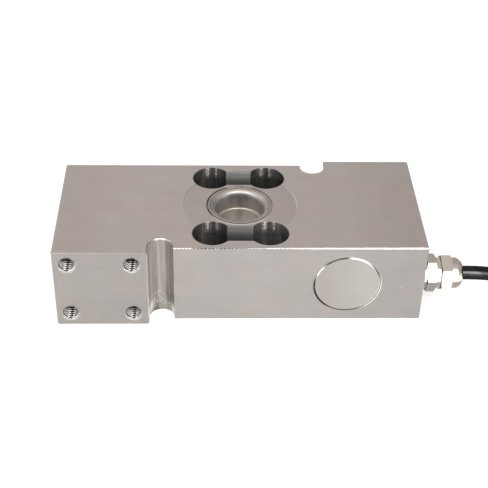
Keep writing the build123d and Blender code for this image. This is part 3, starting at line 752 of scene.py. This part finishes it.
def buildBlockSteel():
    look, slots, edges = grainLook, slotLook, edgeDashes
    material, tree, shader = startMaterial("blockSteel", look["roughness"], 1.0)
    lengthwise = placeGroup(tree, grindMarks, Squeeze=(0.05, 5.0, 5.0), CloudSize=14.0)
    rings = placeGroup(tree, turnMarks, Pitch=0.25)
    at = blockSurface(tree, rings["Radius"], groundLook["top"])
    mark = blendValue(at.inSpot, lengthwise["Scratch"], rings["Ring"])

    colour, behind = seatRing(at, groundColour(at))
    inSlot, flat, slotColour, tilt = slotWalls(at)
    colour = blendColour(inSlot, colour, slotColour)
    inNotch, notchColour = notchWalls(at)
    colour = blendColour(inNotch, colour, notchColour)
    colour = grained(at, colour, mark, lengthwise["Cloud"], behind)
    colour = plainEdges(at, colour)
    colour, frontEdge, frontLit = dashedEdge(at, colour)
    mouthLit = mouthMask(at)
    colour = blendColour(mouthLit, colour, mouthLook["colour"])
    colour, discLit = discSeat(tree, at, colour)
    feed(shader.inputs["Base Color"], colour)
    feed(shader.inputs["Metallic"], dimmed(inSlot, 1 - slots["film"]))

    rough = calc("MULTIPLY_ADD", mark, look["roughSpread"], look["roughness"] - look["roughSpread"] / 2)
    polish = product(anyOf(at.edge, frontEdge), look["edgePolish"])
    slotRough = blendValue(flat, slots["holeRoughness"], slots["flatRoughness"])
    rough = blendValue(inSlot, calc("SUBTRACT", rough, polish), slotRough)
    feed(shader.inputs["Roughness"], rough)

    # Painted highlights: lit edges and arcs lean to the softbox; the slot walls lean by their grooves
    lean = calc("MULTIPLY_ADD", at.x, edges["leanFall"], edges["lean"])
    normal = leanNormal(tree, joinAxes(0.0, 0.0, tilt))
    normal = blendNormal(anyOf(frontLit, discLit, mouthLit), normal, joinAxes(lean, *edges["lightward"]))
    feed(shader.inputs["Normal"], bumpFrom(mark, normal=normal))
    return material


# Turned metals

turnedLooks = {
    "glandNickel": {"colour": (0.85, 0.78, 0.70, 1), "roughness": 0.17, "centre": (0, -26.1, 21.7),
                    "across": (0, 1, 1), "along": (1, 0, 0), "pitch": 0.16, "share": 0.10, "undersideShade": 0.40},
    "screwSteel": {"colour": grey(0.55), "roughness": 0.25, "centre": (0, 0, 0), "across": (1, 0, 1),
                   "along": (0, 1, 0), "pitch": 0.15, "share": 0.10},
    "spacerBrass": {"colour": (0.66, 0.48, 0.20, 1), "roughness": 0.28, "centre": (0, 0, 0),
                    "across": (1, 0, 1), "along": (0, 1, 0), "pitch": 0.15, "share": 0.12},
}

# Places along the gland in millimetres, how far up a face looks, and the painted shade tone of each zone
glandZones = {
    "washerFrom": 88.2, "hexFrom": 89.6, "hexTo": 94.3, "neckTo": 96.5, "nutTo": 101.8,
    "seamBand": (-0.16, 0.16, 0.08), "downward": (-0.05, 0.12), "upward": (0.62, 0.72),
    "topmost": (0.84, 1.0), "facet": 0.70, "dome": 0.80, "crown": 0.70, "neck": 0.90, "seam": 0.30,
}


def glandTone(tree, undersideShade):
    # Painted shade: darker undersides, neck and crown, darker upper and lower facets of the first hexagon,
    # and a dark line at each step
    zones = glandZones
    x, up = splitAxes(millimetres(tree))[0], facing(tree)[2]
    low = fall(up, *zones["downward"])
    facet = anyOf(low, ramp(up, *zones["upward"]))
    onHex = inside(x, zones["washerFrom"], zones["hexTo"])
    onNeck = inside(x, zones["hexTo"], zones["neckTo"])
    onDome = ramp(x, zones["nutTo"], zones["nutTo"] + 0.2)
    tones = [
        dimmed(low, undersideShade), dimmed(product(facet, onHex), zones["facet"]), dimmed(onNeck, zones["neck"]),
        dimmed(product(low, onDome), zones["dome"]),
        dimmed(product(ramp(up, *zones["topmost"]), onDome), zones["crown"]),
    ]
    for seam in ("hexFrom", "hexTo", "neckTo"):
        tones.append(dimmed(ringBand(x, zones[seam], zones["seamBand"]), zones["seam"]))
    return product(*tones)


def buildTurnedMetal(name):
    look = turnedLooks[name]
    material, tree, shader = startMaterial(name, look["roughness"], 1.0)
    turned = placeGroup(tree, turnMarks, Centre=look["centre"], Across=look["across"], Along=look["along"],
                        Pitch=look["pitch"])
    ring = turned["Ring"]
    tone = calc("ADD", 1 - look["share"] * 0.75, product(ring, look["share"]))
    tone = calc("ADD", tone, product(turned["Cloud"], look["share"] / 2))
    if "undersideShade" in look:
        tone = product(tone, glandTone(tree, look["undersideShade"]))
    feed(shader.inputs["Base Color"], tint(look["colour"], tone))
    feed(shader.inputs["Roughness"], calc("MULTIPLY_ADD", ring, 0.10, look["roughness"] - 0.04))
    feed(shader.inputs["Normal"], bumpFrom(ring))
    return material


# Painted light on the disc: its face lighter to the right, and lit, pale and dark stretches on its rim
discFinish = {
    "left": (0.343, 0.320, 0.303, 1), "right": (0.388, 0.376, 0.357, 1), "sides": (-13.0, 11.0),
    "lit": (0.20, 0.195, 0.19, 1), "dark": (0.09, 0.08, 0.065, 1), "plain": (0.30, 0.275, 0.25, 1),
    "pale": (0.85, 0.80, 0.77, 1), "share": 0.10, "roughness": 0.36, "litPolish": 0.14,
    "centre": (51.0, 0.0, 21.7), "rimFrom": 15.34, "pitch": 0.3, "lightward": (0.133, -0.784, 0.606),
}


def buildDiscSteel():
    # Turned disc painted lighter to the right, with a broken rim painted lit and dark in turns
    look = discFinish
    material, tree, shader = startMaterial("discSteel", look["roughness"], 1.0)
    turned = placeGroup(tree, turnMarks, Centre=look["centre"], Across=(1, 0, 1), Along=(0, 1, 0),
                        Pitch=look["pitch"])
    arcs = placeGroup(tree, discArcs, Centre=look["centre"])
    x = splitAxes(vectorCalc("SUBTRACT", millimetres(tree), look["centre"]))[0]
    tone = calc("MULTIPLY_ADD", turned["Ring"], look["share"], 1 - look["share"])
    tone = calc("ADD", tone, product(turned["Cloud"], look["share"]))
    face = tint(blendColour(ramp(x, *look["sides"]), look["left"], look["right"]), tone)
    rim = past(turned["Radius"], look["rimFrom"])
    rimColour = blendColour(arcs["Pale"], look["plain"], look["pale"])
    rimColour = blendColour(arcs["Lit"], rimColour, look["lit"])
    rimColour = blendColour(arcs["Dark"], rimColour, look["dark"])
    feed(shader.inputs["Base Color"], blendColour(rim, face, rimColour))
    lit = product(rim, arcs["Lit"])
    rough = calc("MULTIPLY_ADD", turned["Ring"], 0.10, look["roughness"] - 0.05)
    feed(shader.inputs["Roughness"], calc("SUBTRACT", rough, product(lit, look["litPolish"])))
    normal = blendNormal(lit, leanNormal(tree), look["lightward"])
    feed(shader.inputs["Normal"], bumpFrom(turned["Ring"], normal=normal))
    return material


# Painted light and shade in the threads: dark roots, a painted glint on the crests, dimmer deep in the hole
threadFinish = {
    "root": grey(0.03), "crest": grey(0.42, 0.02), "glint": grey(0.13), "roughness": 0.22, "sharpness": 1.6,
    "crestGlint": (0.80, 1.0), "besideGlint": (0.20, 0.50, 0.0, 0.9),
    "depthGlint": (29.0, 36.5, 0.60, 1.0),  # dimmer deep in the hole, by the distance from the middle
    "lightward": (0.133, 0.784, 0.606),
}


def buildThreadSteel():
    # Cut threads: painted shade in the roots and a painted glint on the crests at both sides of the hole. The
    # mesh carries how near a point is to the crest, and how far beside the upright through the hole
    look = threadFinish
    material, tree, shader = startMaterial("threadSteel", look["roughness"], 1.0)
    grain = placeGroup(tree, specks, Size=0.25, Cover=0.3)["Grain"]
    crest = attribute(tree, "crest")
    y = splitAxes(millimetres(tree))[1]
    glint = product(ramp(crest, *look["crestGlint"]), ramp(attribute(tree, "beside"), *look["besideGlint"]),
                    ramp(calc("ABSOLUTE", y), *look["depthGlint"]))
    colour = blendColour(calc("POWER", crest, look["sharpness"]), look["root"], look["crest"])
    colour = tint(blendColour(glint, colour, look["glint"]), calc("MULTIPLY_ADD", grain, 0.14, 0.93))
    feed(shader.inputs["Base Color"], colour)
    feed(shader.inputs["Roughness"], calc("MULTIPLY_ADD", grain, 0.08, look["roughness"] - 0.04))
    right, outward, up = look["lightward"]
    lightward = joinAxes(right, product(calc("SIGN", y), outward), up)
    feed(shader.inputs["Normal"], blendNormal(glint, leanNormal(tree), lightward))
    return material


# Radii and heights in millimetres, the heights from the block's middle
# The wall colours are painted shade, bluish at the top and browner at the foot
cupFinish = {
    "flare": (0.645, 0.592, 0.530, 1), "floor": (0.485, 0.455, 0.395, 1),
    "wallTop": (0.245, 0.247, 0.258, 1), "wallFoot": (0.250, 0.230, 0.216, 1),
    "roughness": 0.30, "dullWall": 0.14, "dullFlare": 0.20,
    "middle": 21.7, "wallRadius": (12.25, 12.75), "floorHeight": (11.0, 12.0), "wallHeight": (12.2, 18.5),
    "thinLine": 14.42, "thinLineBand": (-0.18, 0.18, 0.10), "thinLineHeight": (19.0, 20.0), "thinLineTone": 0.45,
    "back": (0.50, 0.85), "backRadius": (14.9, 15.0), "backTone": 0.75, "rimTone": 0.36,
    "front": (-0.80, -0.30), "frontRadius": (15.15, 15.25),
    "left": (-0.85, -0.45), "leftRadius": (15.60, 15.65),
}

# Painted light: tones by the share of the way to the right, or by the distance from the middle of the cup
cupTones = {
    "flareLeft": (-1.0, -0.80, 0.64, 0.87), "flareRight": (0.80, 1.0, 1.0, 0.80),
    "wall": (3.4, 7.4, 0.82, 1.70), "floor": (3.4, 7.4, 1.0, 1.22),
}


def cupTone(tree, ring, radius, height, onWall, onFloor):
    # Turning marks; painted shade: a dark line in the flare, its darker ends, darker behind, a dark rim in
    # front and on the left; painted light: sides lighter than the middle
    look, tones = cupFinish, cupTones
    x, y = splitAxes(millimetres(tree))[:2]
    right, back = calc("DIVIDE", x, radius), calc("DIVIDE", y, radius)
    thinLine = product(ringBand(radius, look["thinLine"], look["thinLineBand"]),
                     ramp(height, *look["thinLineHeight"]))
    behind = product(ramp(back, *look["back"]), ramp(radius, *look["backRadius"]))
    rimFront = product(ramp(radius, *look["frontRadius"]), fall(back, *look["front"]))
    rimLeft = product(ramp(radius, *look["leftRadius"]), fall(right, *look["left"]))
    flareTone = product(ramp(right, *tones["flareLeft"]), ramp(right, *tones["flareRight"]))
    aside = calc("ABSOLUTE", x)
    below = blendValue(onFloor, ramp(aside, *tones["wall"]), ramp(aside, *tones["floor"]))
    return product(calc("MULTIPLY_ADD", ring, 0.14, 0.93), dimmed(thinLine, look["thinLineTone"]),
                   dimmed(behind, look["backTone"]), dimmed(anyOf(rimFront, rimLeft), look["rimTone"]),
                   blendValue(onWall, flareTone, below))


def buildCupSteel():
    # Deep-drawn cup: bright flare, a duller wall in painted shade, and a floor turned flat
    look = cupFinish
    material, tree, shader = startMaterial("cupSteel", look["roughness"], 1.0)
    turned = placeGroup(tree, turnMarks, Pitch=0.25)
    ring, radius = turned["Ring"], turned["Radius"]
    z = splitAxes(millimetres(tree))[2]
    height = calc("ABSOLUTE", calc("SUBTRACT", z, look["middle"]))
    onWall = fall(radius, *look["wallRadius"])
    onFloor = fall(height, *look["floorHeight"])
    wall = blendColour(ramp(height, *look["wallHeight"]), look["wallFoot"], look["wallTop"])
    colour = blendColour(onWall, look["flare"], wall)
    colour = blendColour(onFloor, colour, look["floor"])
    tone = cupTone(tree, ring, radius, height, onWall, onFloor)
    feed(shader.inputs["Base Color"], tint(colour, tone))
    rough = calc("MULTIPLY_ADD", ring, 0.10, look["roughness"] - 0.05)
    rough = calc("ADD", rough, product(onWall, look["dullWall"]))
    onFlare = past(height, look["wallHeight"][1], 0.5)
    rough = calc("ADD", rough, product(onFlare, look["dullFlare"]))
    feed(shader.inputs["Roughness"], rough)
    feed(shader.inputs["Normal"], bumpFrom(ring))
    return material


# Plastics, rubber and films


def plastic(colour, dust, roughness, size=0.2, cover=0.3, depth=0.00001):
    return {"colour": (*colour, 1), "dust": (*dust, 1), "roughness": roughness, "size": size,
            "cover": cover, "depth": depth}


softLooks = {
    "sealRubber": plastic((0.02, 0.02, 0.02), (0.12, 0.12, 0.12), 0.65, 0.3, 0.5, 0.00003),
    "clawPlastic": plastic((0.05, 0.05, 0.05), (0.12, 0.12, 0.12), 0.5, 0.3, depth=0.00002),
    "tieNylon": plastic((0.022, 0.022, 0.023), (0.14, 0.14, 0.14), 0.42, 0.3, depth=0.00003),
    "shrinkSleeve": plastic((0.02, 0.02, 0.02), (0.10, 0.10, 0.10), 0.5, 0.5, depth=0.00005),
    "carrierFilm": plastic((0.60, 0.30, 0.05), (0.75, 0.55, 0.25), 0.25, 0.3, 0.2),
    "stripLaminate": plastic((0.35, 0.38, 0.18), (0.65, 0.65, 0.5), 0.45),
    "boardLaminate": plastic((0.02, 0.16, 0.07), (0.2, 0.4, 0.25), 0.30),
    "chipBody": plastic((0.02, 0.02, 0.022), (0.2, 0.2, 0.2), 0.35),
    "leadSheath": plastic((0.80, 0.79, 0.75), (0.6, 0.58, 0.5), 0.4),
    "coreRed": plastic((0.50, 0.015, 0.012), (0.6, 0.2, 0.2), 0.32, cover=0.2),
    "coreBlack": plastic((0.012, 0.012, 0.012), (0.15, 0.15, 0.15), 0.32, cover=0.2),
    "coreGreen": plastic((0.01, 0.20, 0.04), (0.2, 0.4, 0.2), 0.32, cover=0.2),
    "coreWhite": plastic((0.80, 0.80, 0.77), (0.55, 0.54, 0.5), 0.32, cover=0.2),
    "coreBlue": plastic((0.015, 0.06, 0.36), (0.2, 0.25, 0.5), 0.32, cover=0.2),
    "coreYellow": plastic((0.75, 0.52, 0.02), (0.6, 0.5, 0.2), 0.32, cover=0.2),
}


def buildSoftMaterial(name):
    look = softLooks[name]
    material, tree, shader = startMaterial(name, look["roughness"], Specular_IOR_Level=0.35)
    dust = placeGroup(tree, specks, Size=look["size"], Cover=look["cover"])
    colour = blendColour(product(dust["Mask"], 0.6), look["colour"], look["dust"])
    feed(shader.inputs["Base Color"], colour)
    rough = calc("MULTIPLY_ADD", dust["Grain"], 0.12, look["roughness"] - 0.05)
    feed(shader.inputs["Roughness"], rough)
    feed(shader.inputs["Normal"], bumpFrom(dust["Grain"], look["depth"]))
    return material


jacketFinish = {
    "colour": (0.0115, 0.0115, 0.012, 1), "dust": (0.09, 0.09, 0.09, 1), "roughness": 0.5, "depth": 0.00002,
    "coatRoughness": 0.15, "coatIndex": 1.50, "tones": (-0.2, 0.5, 1.5, 0.7), "glossFrom": (-0.05, 0.35),
    "glossTop": (0.62, 0.85, 1.0, 0.45), "patchSize": 0.16, "patches": (0.40, 0.58, 0.42, 1.0),
}


def buildCableJacket():
    # Black jacket whose gloss lies on its upper side, in patches along it, as a painted sheen; its colour is
    # painted lighter facing down and darker facing up
    look = jacketFinish
    material, tree, shader = startMaterial(
        "cableJacket", look["roughness"], Specular_IOR_Level=0.0, Coat_Roughness=look["coatRoughness"],
        Coat_IOR=look["coatIndex"])
    dust = placeGroup(tree, specks, Size=0.25, Cover=0.30)
    up = facing(tree)[2]
    colour = tint(look["colour"], ramp(up, *look["tones"]))
    colour = blendColour(product(dust["Mask"], 0.5), colour, look["dust"])
    feed(shader.inputs["Base Color"], colour)
    rough = calc("MULTIPLY_ADD", dust["Grain"], 0.12, look["roughness"] - 0.05)
    feed(shader.inputs["Roughness"], rough)
    patch = noise(millimetres(tree), look["patchSize"], 1.0)
    gloss = product(ramp(up, *look["glossFrom"]), ramp(up, *look["glossTop"]), ramp(patch, *look["patches"]))
    feed(shader.inputs["Coat Weight"], gloss)
    feed(shader.inputs["Normal"], bumpFrom(dust["Grain"], look["depth"]))
    return material


def buildTinnedCopper():
    material, tree, shader = startMaterial("tinnedCopper", 0.3, 1.0)
    grain = placeGroup(tree, specks, Size=0.4, Cover=0.4)["Grain"]
    feed(shader.inputs["Base Color"], blendColour(grain, grey(0.5, 0.02), grey(0.75, 0.03)))
    feed(shader.inputs["Normal"], bumpFrom(grain, 0.00004, 0.6))
    return material


finishes = {
    "blockSteel": buildBlockSteel(), "cupSteel": buildCupSteel(), "discSteel": buildDiscSteel(),
    "threadSteel": buildThreadSteel(), "cableJacket": buildCableJacket(),
    "tinnedCopper": buildTinnedCopper(),
}
for name in turnedLooks:
    finishes[name] = buildTurnedMetal(name)
for name in softLooks:
    finishes[name] = buildSoftMaterial(name)
print("materials ready:", len(finishes))

nodeFinishes = {
    "blockSteel": "spring_element", "cupSteel": "upper_seal_cup lower_seal_cup",
    "discSteel": "cavity_cover_disc", "glandNickel": "gland_washer gland_body gland_dome_nut",
    "sealRubber": "gland_seal", "clawPlastic": "gland_claw",
    "carrierFilm": "upper_gauge_carrier lower_gauge_carrier",
    "tinnedCopper": "upper_gauge_foil lower_gauge_foil lead_screen lead_tips",
    "stripLaminate": "upper_terminal_strip lower_terminal_strip",
    "leadSheath": "upper_gauge_lead lower_gauge_lead",
    "boardLaminate": "compensation_board", "chipBody": "trim_resistors", "spacerBrass": "board_spacers",
    "screwSteel": "board_screws", "cableJacket": "cable_in_gland cable_run cable_coil",
    "tieNylon": "coil_ties", "shrinkSleeve": "cable_end_sleeve", "coreRed": "inner_conductors lead_red",
    "coreBlack": "lead_black", "coreGreen": "lead_green", "coreWhite": "lead_white",
    "coreBlue": "lead_blue", "coreYellow": "lead_yellow",
}

for finish, nodes in nodeFinishes.items():
    for node in nodes.split():
        part = frame["nodes"][node]
        part.data.materials.clear()
        part.data.materials.append(finishes[finish])

# The cable and its cores

cableLook = {
    "radius": 3.4 * mm, "glandEnd": (107.5, -26.1, 21.7), "floorHeight": 4.8,
    "coilCentre": (203.0, 17.2), "outerTurn": 48.2, "turnsInLayer": 3, "layers": 4, "lastTurn": 11.86,
    "pointsPerTurn": 24,
    "climb": 0.22,  # share of a turn over which the cable climbs to the next layer
}

cableRoute = [
    (107.5, -26.1, 21.7), (116.0, -26.1, 21.7), (127.5, -26.3, 20.3), (139.0, -26.9, 16.9),
    (150.5, -27.9, 11.9), (162.5, -29.2, 7.5), (184.0, -30.9, 4.8),
]

# The end sleeve on the coil, and the tail of the cable that rises from the top layer and runs level into it
sleeveLook = {
    "angle": -46.0, "radius": 42.0, "height": 32.77, "heading": 55.0, "length": 20.0, "straight": 4.5,
    "overlap": 10.0, "rise": ((-112, 46.2, 2.2), (-95, 45.6, 5.2)), "level": ((-80, 44.6), (-66, 44.2)),
}


def coilPoint(angle, radius, height):
    centreX, centreY = cableLook["coilCentre"]
    return (centreX + radius * cos(radians(angle)), centreY + radius * sin(radians(angle)), height)


def sleeveLine():
    # Where the end sleeve starts, and which way it heads
    start = Vector(coilPoint(sleeveLook["angle"], sleeveLook["radius"], sleeveLook["height"]))
    heading = radians(sleeveLook["heading"])
    return start, Vector((cos(heading), sin(heading), 0))


def coilTurns():
    # Spiral layers: the radius falls by a diameter each turn, then grows again one layer higher
    look = cableLook
    strand = 2 * look["radius"] / mm
    count = int(look["lastTurn"] * look["pointsPerTurn"])
    turn = np.arange(count + 1) / look["pointsPerTurn"]
    perLayer = look["turnsInLayer"]
    within = np.abs((turn + perLayer) % (2 * perLayer) - perLayer)
    radius = look["outerTurn"] - strand * within
    layer = np.zeros_like(turn)
    for change in range(perLayer, perLayer * look["layers"], perLayer):
        share = np.clip((turn - change) / look["climb"] + 0.5, 0, 1)
        layer += share * share * (3 - 2 * share)
    height = look["floorHeight"] + strand * layer
    radius = radius / cos(pi / look["pointsPerTurn"])
    angle = -pi / 2 + 2 * pi * turn
    centreX, centreY = look["coilCentre"]
    return np.stack([centreX + radius * np.cos(angle), centreY + radius * np.sin(angle), height], axis=1)


def tailRoute():
    look = sleeveLook
    start, heading = sleeveLine()
    topTurn = cableLook["floorHeight"] + (cableLook["layers"] - 1) * 2 * cableLook["radius"] / mm
    rise = [coilPoint(angle, radius, topTurn + lift) for angle, radius, lift in look["rise"]]
    level = [coilPoint(angle, radius, start.z) for angle, radius in look["level"]]
    return [*rise, *level, tuple(start - heading * look["straight"]),
            tuple(start + heading * look["overlap"])]


def splineCord(name, points, radius, finish, ringPoints=6, steps=4):
    # A round cord along one smooth spline whose control points are the route
    curve = bpy.data.curves.new(name, "CURVE")
    curve.dimensions = "3D"
    spline = curve.splines.new("NURBS")
    spline.points.add(len(points) - 1)
    flat = np.ones((len(points), 4))
    flat[:, :3] = np.array(points) * mm
    spline.points.foreach_set("co", flat.ravel())
    spline.order_u = 3
    spline.use_endpoint_u = True
    spline.resolution_u = steps
    curve.bevel_depth = radius
    curve.bevel_resolution = ringPoints
    curve.use_fill_caps = True
    curve.materials.append(finishes[finish])
    cord = bpy.data.objects.new(name, curve)
    scene.collection.objects.link(cord)
    return cord


wholeRoute = np.concatenate([np.array(cableRoute), coilTurns(), np.array(tailRoute())])
cable = splineCord("cable", wholeRoute, cableLook["radius"], "cableJacket")
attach(cable, "root")
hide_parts("cable_run", "cable_coil")
print("cable laid:", len(wholeRoute), "control points")

leadLook = {
    "radius": 0.65, "ring": 1.9, "straight": 8.6, "earlyTurn": 0.6, "rest": 29.5,
    "fan": ((30, 39.4, 2.4, 0.3), (46, 38.6, 2.7, 0.0), (61, 37.8, 2.8, 0.0)),  # angle, radius, step, lift
    "names": ("red", "black", "green", "screen", "white", "blue", "yellow"),
    "ringAngles": (180, 240, 120, 0, 300, 60, 0),
    "lengths": (0.0507, 0.0511, 0.0527, 0.0447, 0.0450, 0.0465, 0.0401),
}


def leadRoute(index):
    # A core fanned over the top of the coil, from the sleeve to its tinned end
    look = leadLook
    start, heading = sleeveLine()
    stop = start + heading * sleeveLook["length"]
    across = Vector((-heading.y, heading.x, 0))
    spread = index - (len(look["names"]) - 1) / 2
    ringAngle = radians(look["ringAngles"][index])
    out = 0.0 if look["names"][index] == "screen" else look["ring"]
    first = stop + across * (out * cos(ringAngle)) + Vector((0, 0, out * sin(ringAngle)))
    second = first + heading * (look["straight"] - look["earlyTurn"] * spread)
    centreX, centreY = cableLook["coilCentre"]
    base = degrees(atan2(stop.y - centreY, stop.x - centreX))
    route = [tuple(first), tuple(second)]
    unevenness = (0, index % 2, 4 * (index % 3))
    for (angle, radius, step, lift), uneven in zip(look["fan"], unevenness):
        route.append(coilPoint(base + angle + uneven, radius - step * spread, look["rest"] + lift))
    return route


for index, colour in enumerate(leadLook["names"]):
    route = leadRoute(index)
    finish = "tinnedCopper" if colour == "screen" else "core" + colour.capitalize()
    lead = splineCord("lead_" + colour + "_laid", route, leadLook["radius"] * mm, finish, 3, 8)
    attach(lead, "root")
    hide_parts("lead_" + colour)
print("cores laid:", len(leadLook["names"]))

# The threads in the tapped holes, too fine for the solids

threadLook = {
    "major": 3.985, "minor": 3.38, "hidden": 4.03, "pitch": 1.5, "from": 0.34, "to": 17.0,
    "rootFlat": 0.125, "crestFlat": 0.75, "around": 64, "perPitch": 8,
    "coneMouth": 4.6, "coneSlope": 1.732, "mouthDepth": 0.45, "mouthSoft": 0.2, "mouthCrest": 0.9,
    "padX": 66.0, "padY": 39.15, "padZ": 21.7, "halfX": 15.0, "halfZ": 14.5,
}


def threadSurface(look):
    # Radius over angle a and depth v: the share of a V whose phase is v / pitch - a / turn, cut at root and
    # crest, and never inside the cone of the mouth
    steps = int((look["to"] - look["from"]) / look["pitch"] * look["perPitch"]) + 1
    angle = np.linspace(0, 2 * pi, look["around"], endpoint=False)[None, :]
    depth = np.linspace(look["from"], look["to"], steps)[:, None]
    phase = np.mod(depth / look["pitch"] - angle / (2 * pi), 1)
    rise = 1 - np.abs(2 * phase - 1)
    share = np.clip((rise - look["rootFlat"]) / (look["crestFlat"] - look["rootFlat"]), 0, 1)
    radius = look["major"] - (look["major"] - look["minor"]) * share
    cone = look["coneMouth"] - look["coneSlope"] * depth
    radius = np.minimum(np.maximum(radius, cone), look["major"])
    return np.broadcast_to(angle, radius.shape), np.broadcast_to(depth, radius.shape), radius


def closedSleeve(angle, depth, radius, hidden):
    # The surface, then its hidden outer wall back to the mouth, as one closed grid
    outer = np.full((2, radius.shape[1]), hidden)
    rows = np.concatenate([radius, outer])
    depths = np.concatenate([depth, depth[[-1]], depth[[0]]])
    angles = np.concatenate([angle, angle[:2]])
    return angles, depths, rows


def gridFaces(rows, columns, first):
    # Quads of a grid that closes on itself both ways
    row = np.arange(rows)[:, None]
    column = np.arange(columns)[None, :]
    nextRow, nextColumn = (row + 1) % rows, (column + 1) % columns
    corners = [row * columns + column, row * columns + nextColumn,
               nextRow * columns + nextColumn, nextRow * columns + column]
    quads = np.stack([np.broadcast_to(corner, (rows, columns)) for corner in corners], axis=-1)
    return first + quads.reshape(-1, 4)


def signedVolume(points, faces):
    # Each quad a, b, c, d adds a . (b x c) and a . (c x d), over 6
    a, b, c, d = (points[faces[:, corner]] for corner in range(4))
    first = np.einsum("ij,ij->i", a, np.cross(b, c)).sum()
    return (first + np.einsum("ij,ij->i", a, np.cross(c, d)).sum()) / 6


def meshPiece(name, points, faces, finish, values):
    if signedVolume(points, faces) < 0:
        faces = faces[:, ::-1]
    mesh = bpy.data.meshes.new(name)
    mesh.vertices.add(len(points))
    mesh.vertices.foreach_set("co", points.ravel())
    mesh.loops.add(faces.size)
    mesh.loops.foreach_set("vertex_index", faces.ravel())
    mesh.polygons.add(len(faces))
    mesh.polygons.foreach_set("loop_start", np.arange(0, faces.size, 4))
    mesh.polygons.foreach_set("use_smooth", np.full(len(faces), True))
    mesh.update(calc_edges=True)
    mesh.validate()
    for label, value in values.items():
        mesh.attributes.new(label, "FLOAT", "POINT").data.foreach_set("value", value)
    mesh.materials.append(finishes[finish])
    piece = bpy.data.objects.new(name, mesh)
    scene.collection.objects.link(piece)
    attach(piece, "root")
    return piece


def buildPadThreads(name, side):
    # The four threads of one pad; side is -1 for the front pad on the left, 1 for the back one
    look = threadLook
    angle, depth, radius = closedSleeve(*threadSurface(look), look["hidden"])
    crest = np.clip((look["major"] - radius) / (look["major"] - look["minor"]), 0, 1).ravel()
    mouth = (look["from"] + look["mouthDepth"] - depth.ravel()) / look["mouthSoft"]
    crest = np.maximum(crest, np.clip(mouth, 0, look["mouthCrest"]))
    beside = np.abs(np.cos(angle)).ravel()
    points, faces = [], []
    for across in (-1, 1):
        for up in (-1, 1):
            holeX = side * (look["padX"] + across * look["halfX"])
            holeZ = look["padZ"] + up * look["halfZ"]
            place = np.stack([holeX + radius * np.cos(angle), side * (look["padY"] - depth),
                              holeZ + radius * np.sin(angle)], axis=-1).reshape(-1, 3)
            faces.append(gridFaces(*radius.shape, sum(len(done) for done in points)))
            points.append(place * mm)
    meshPiece(name, np.concatenate(points), np.concatenate(faces), "threadSteel",
              {"crest": np.tile(crest, len(points)), "beside": np.tile(beside, len(points))})


buildPadThreads("front_pad_threads", -1)
buildPadThreads("back_pad_threads", 1)
print("threads cut: 8")
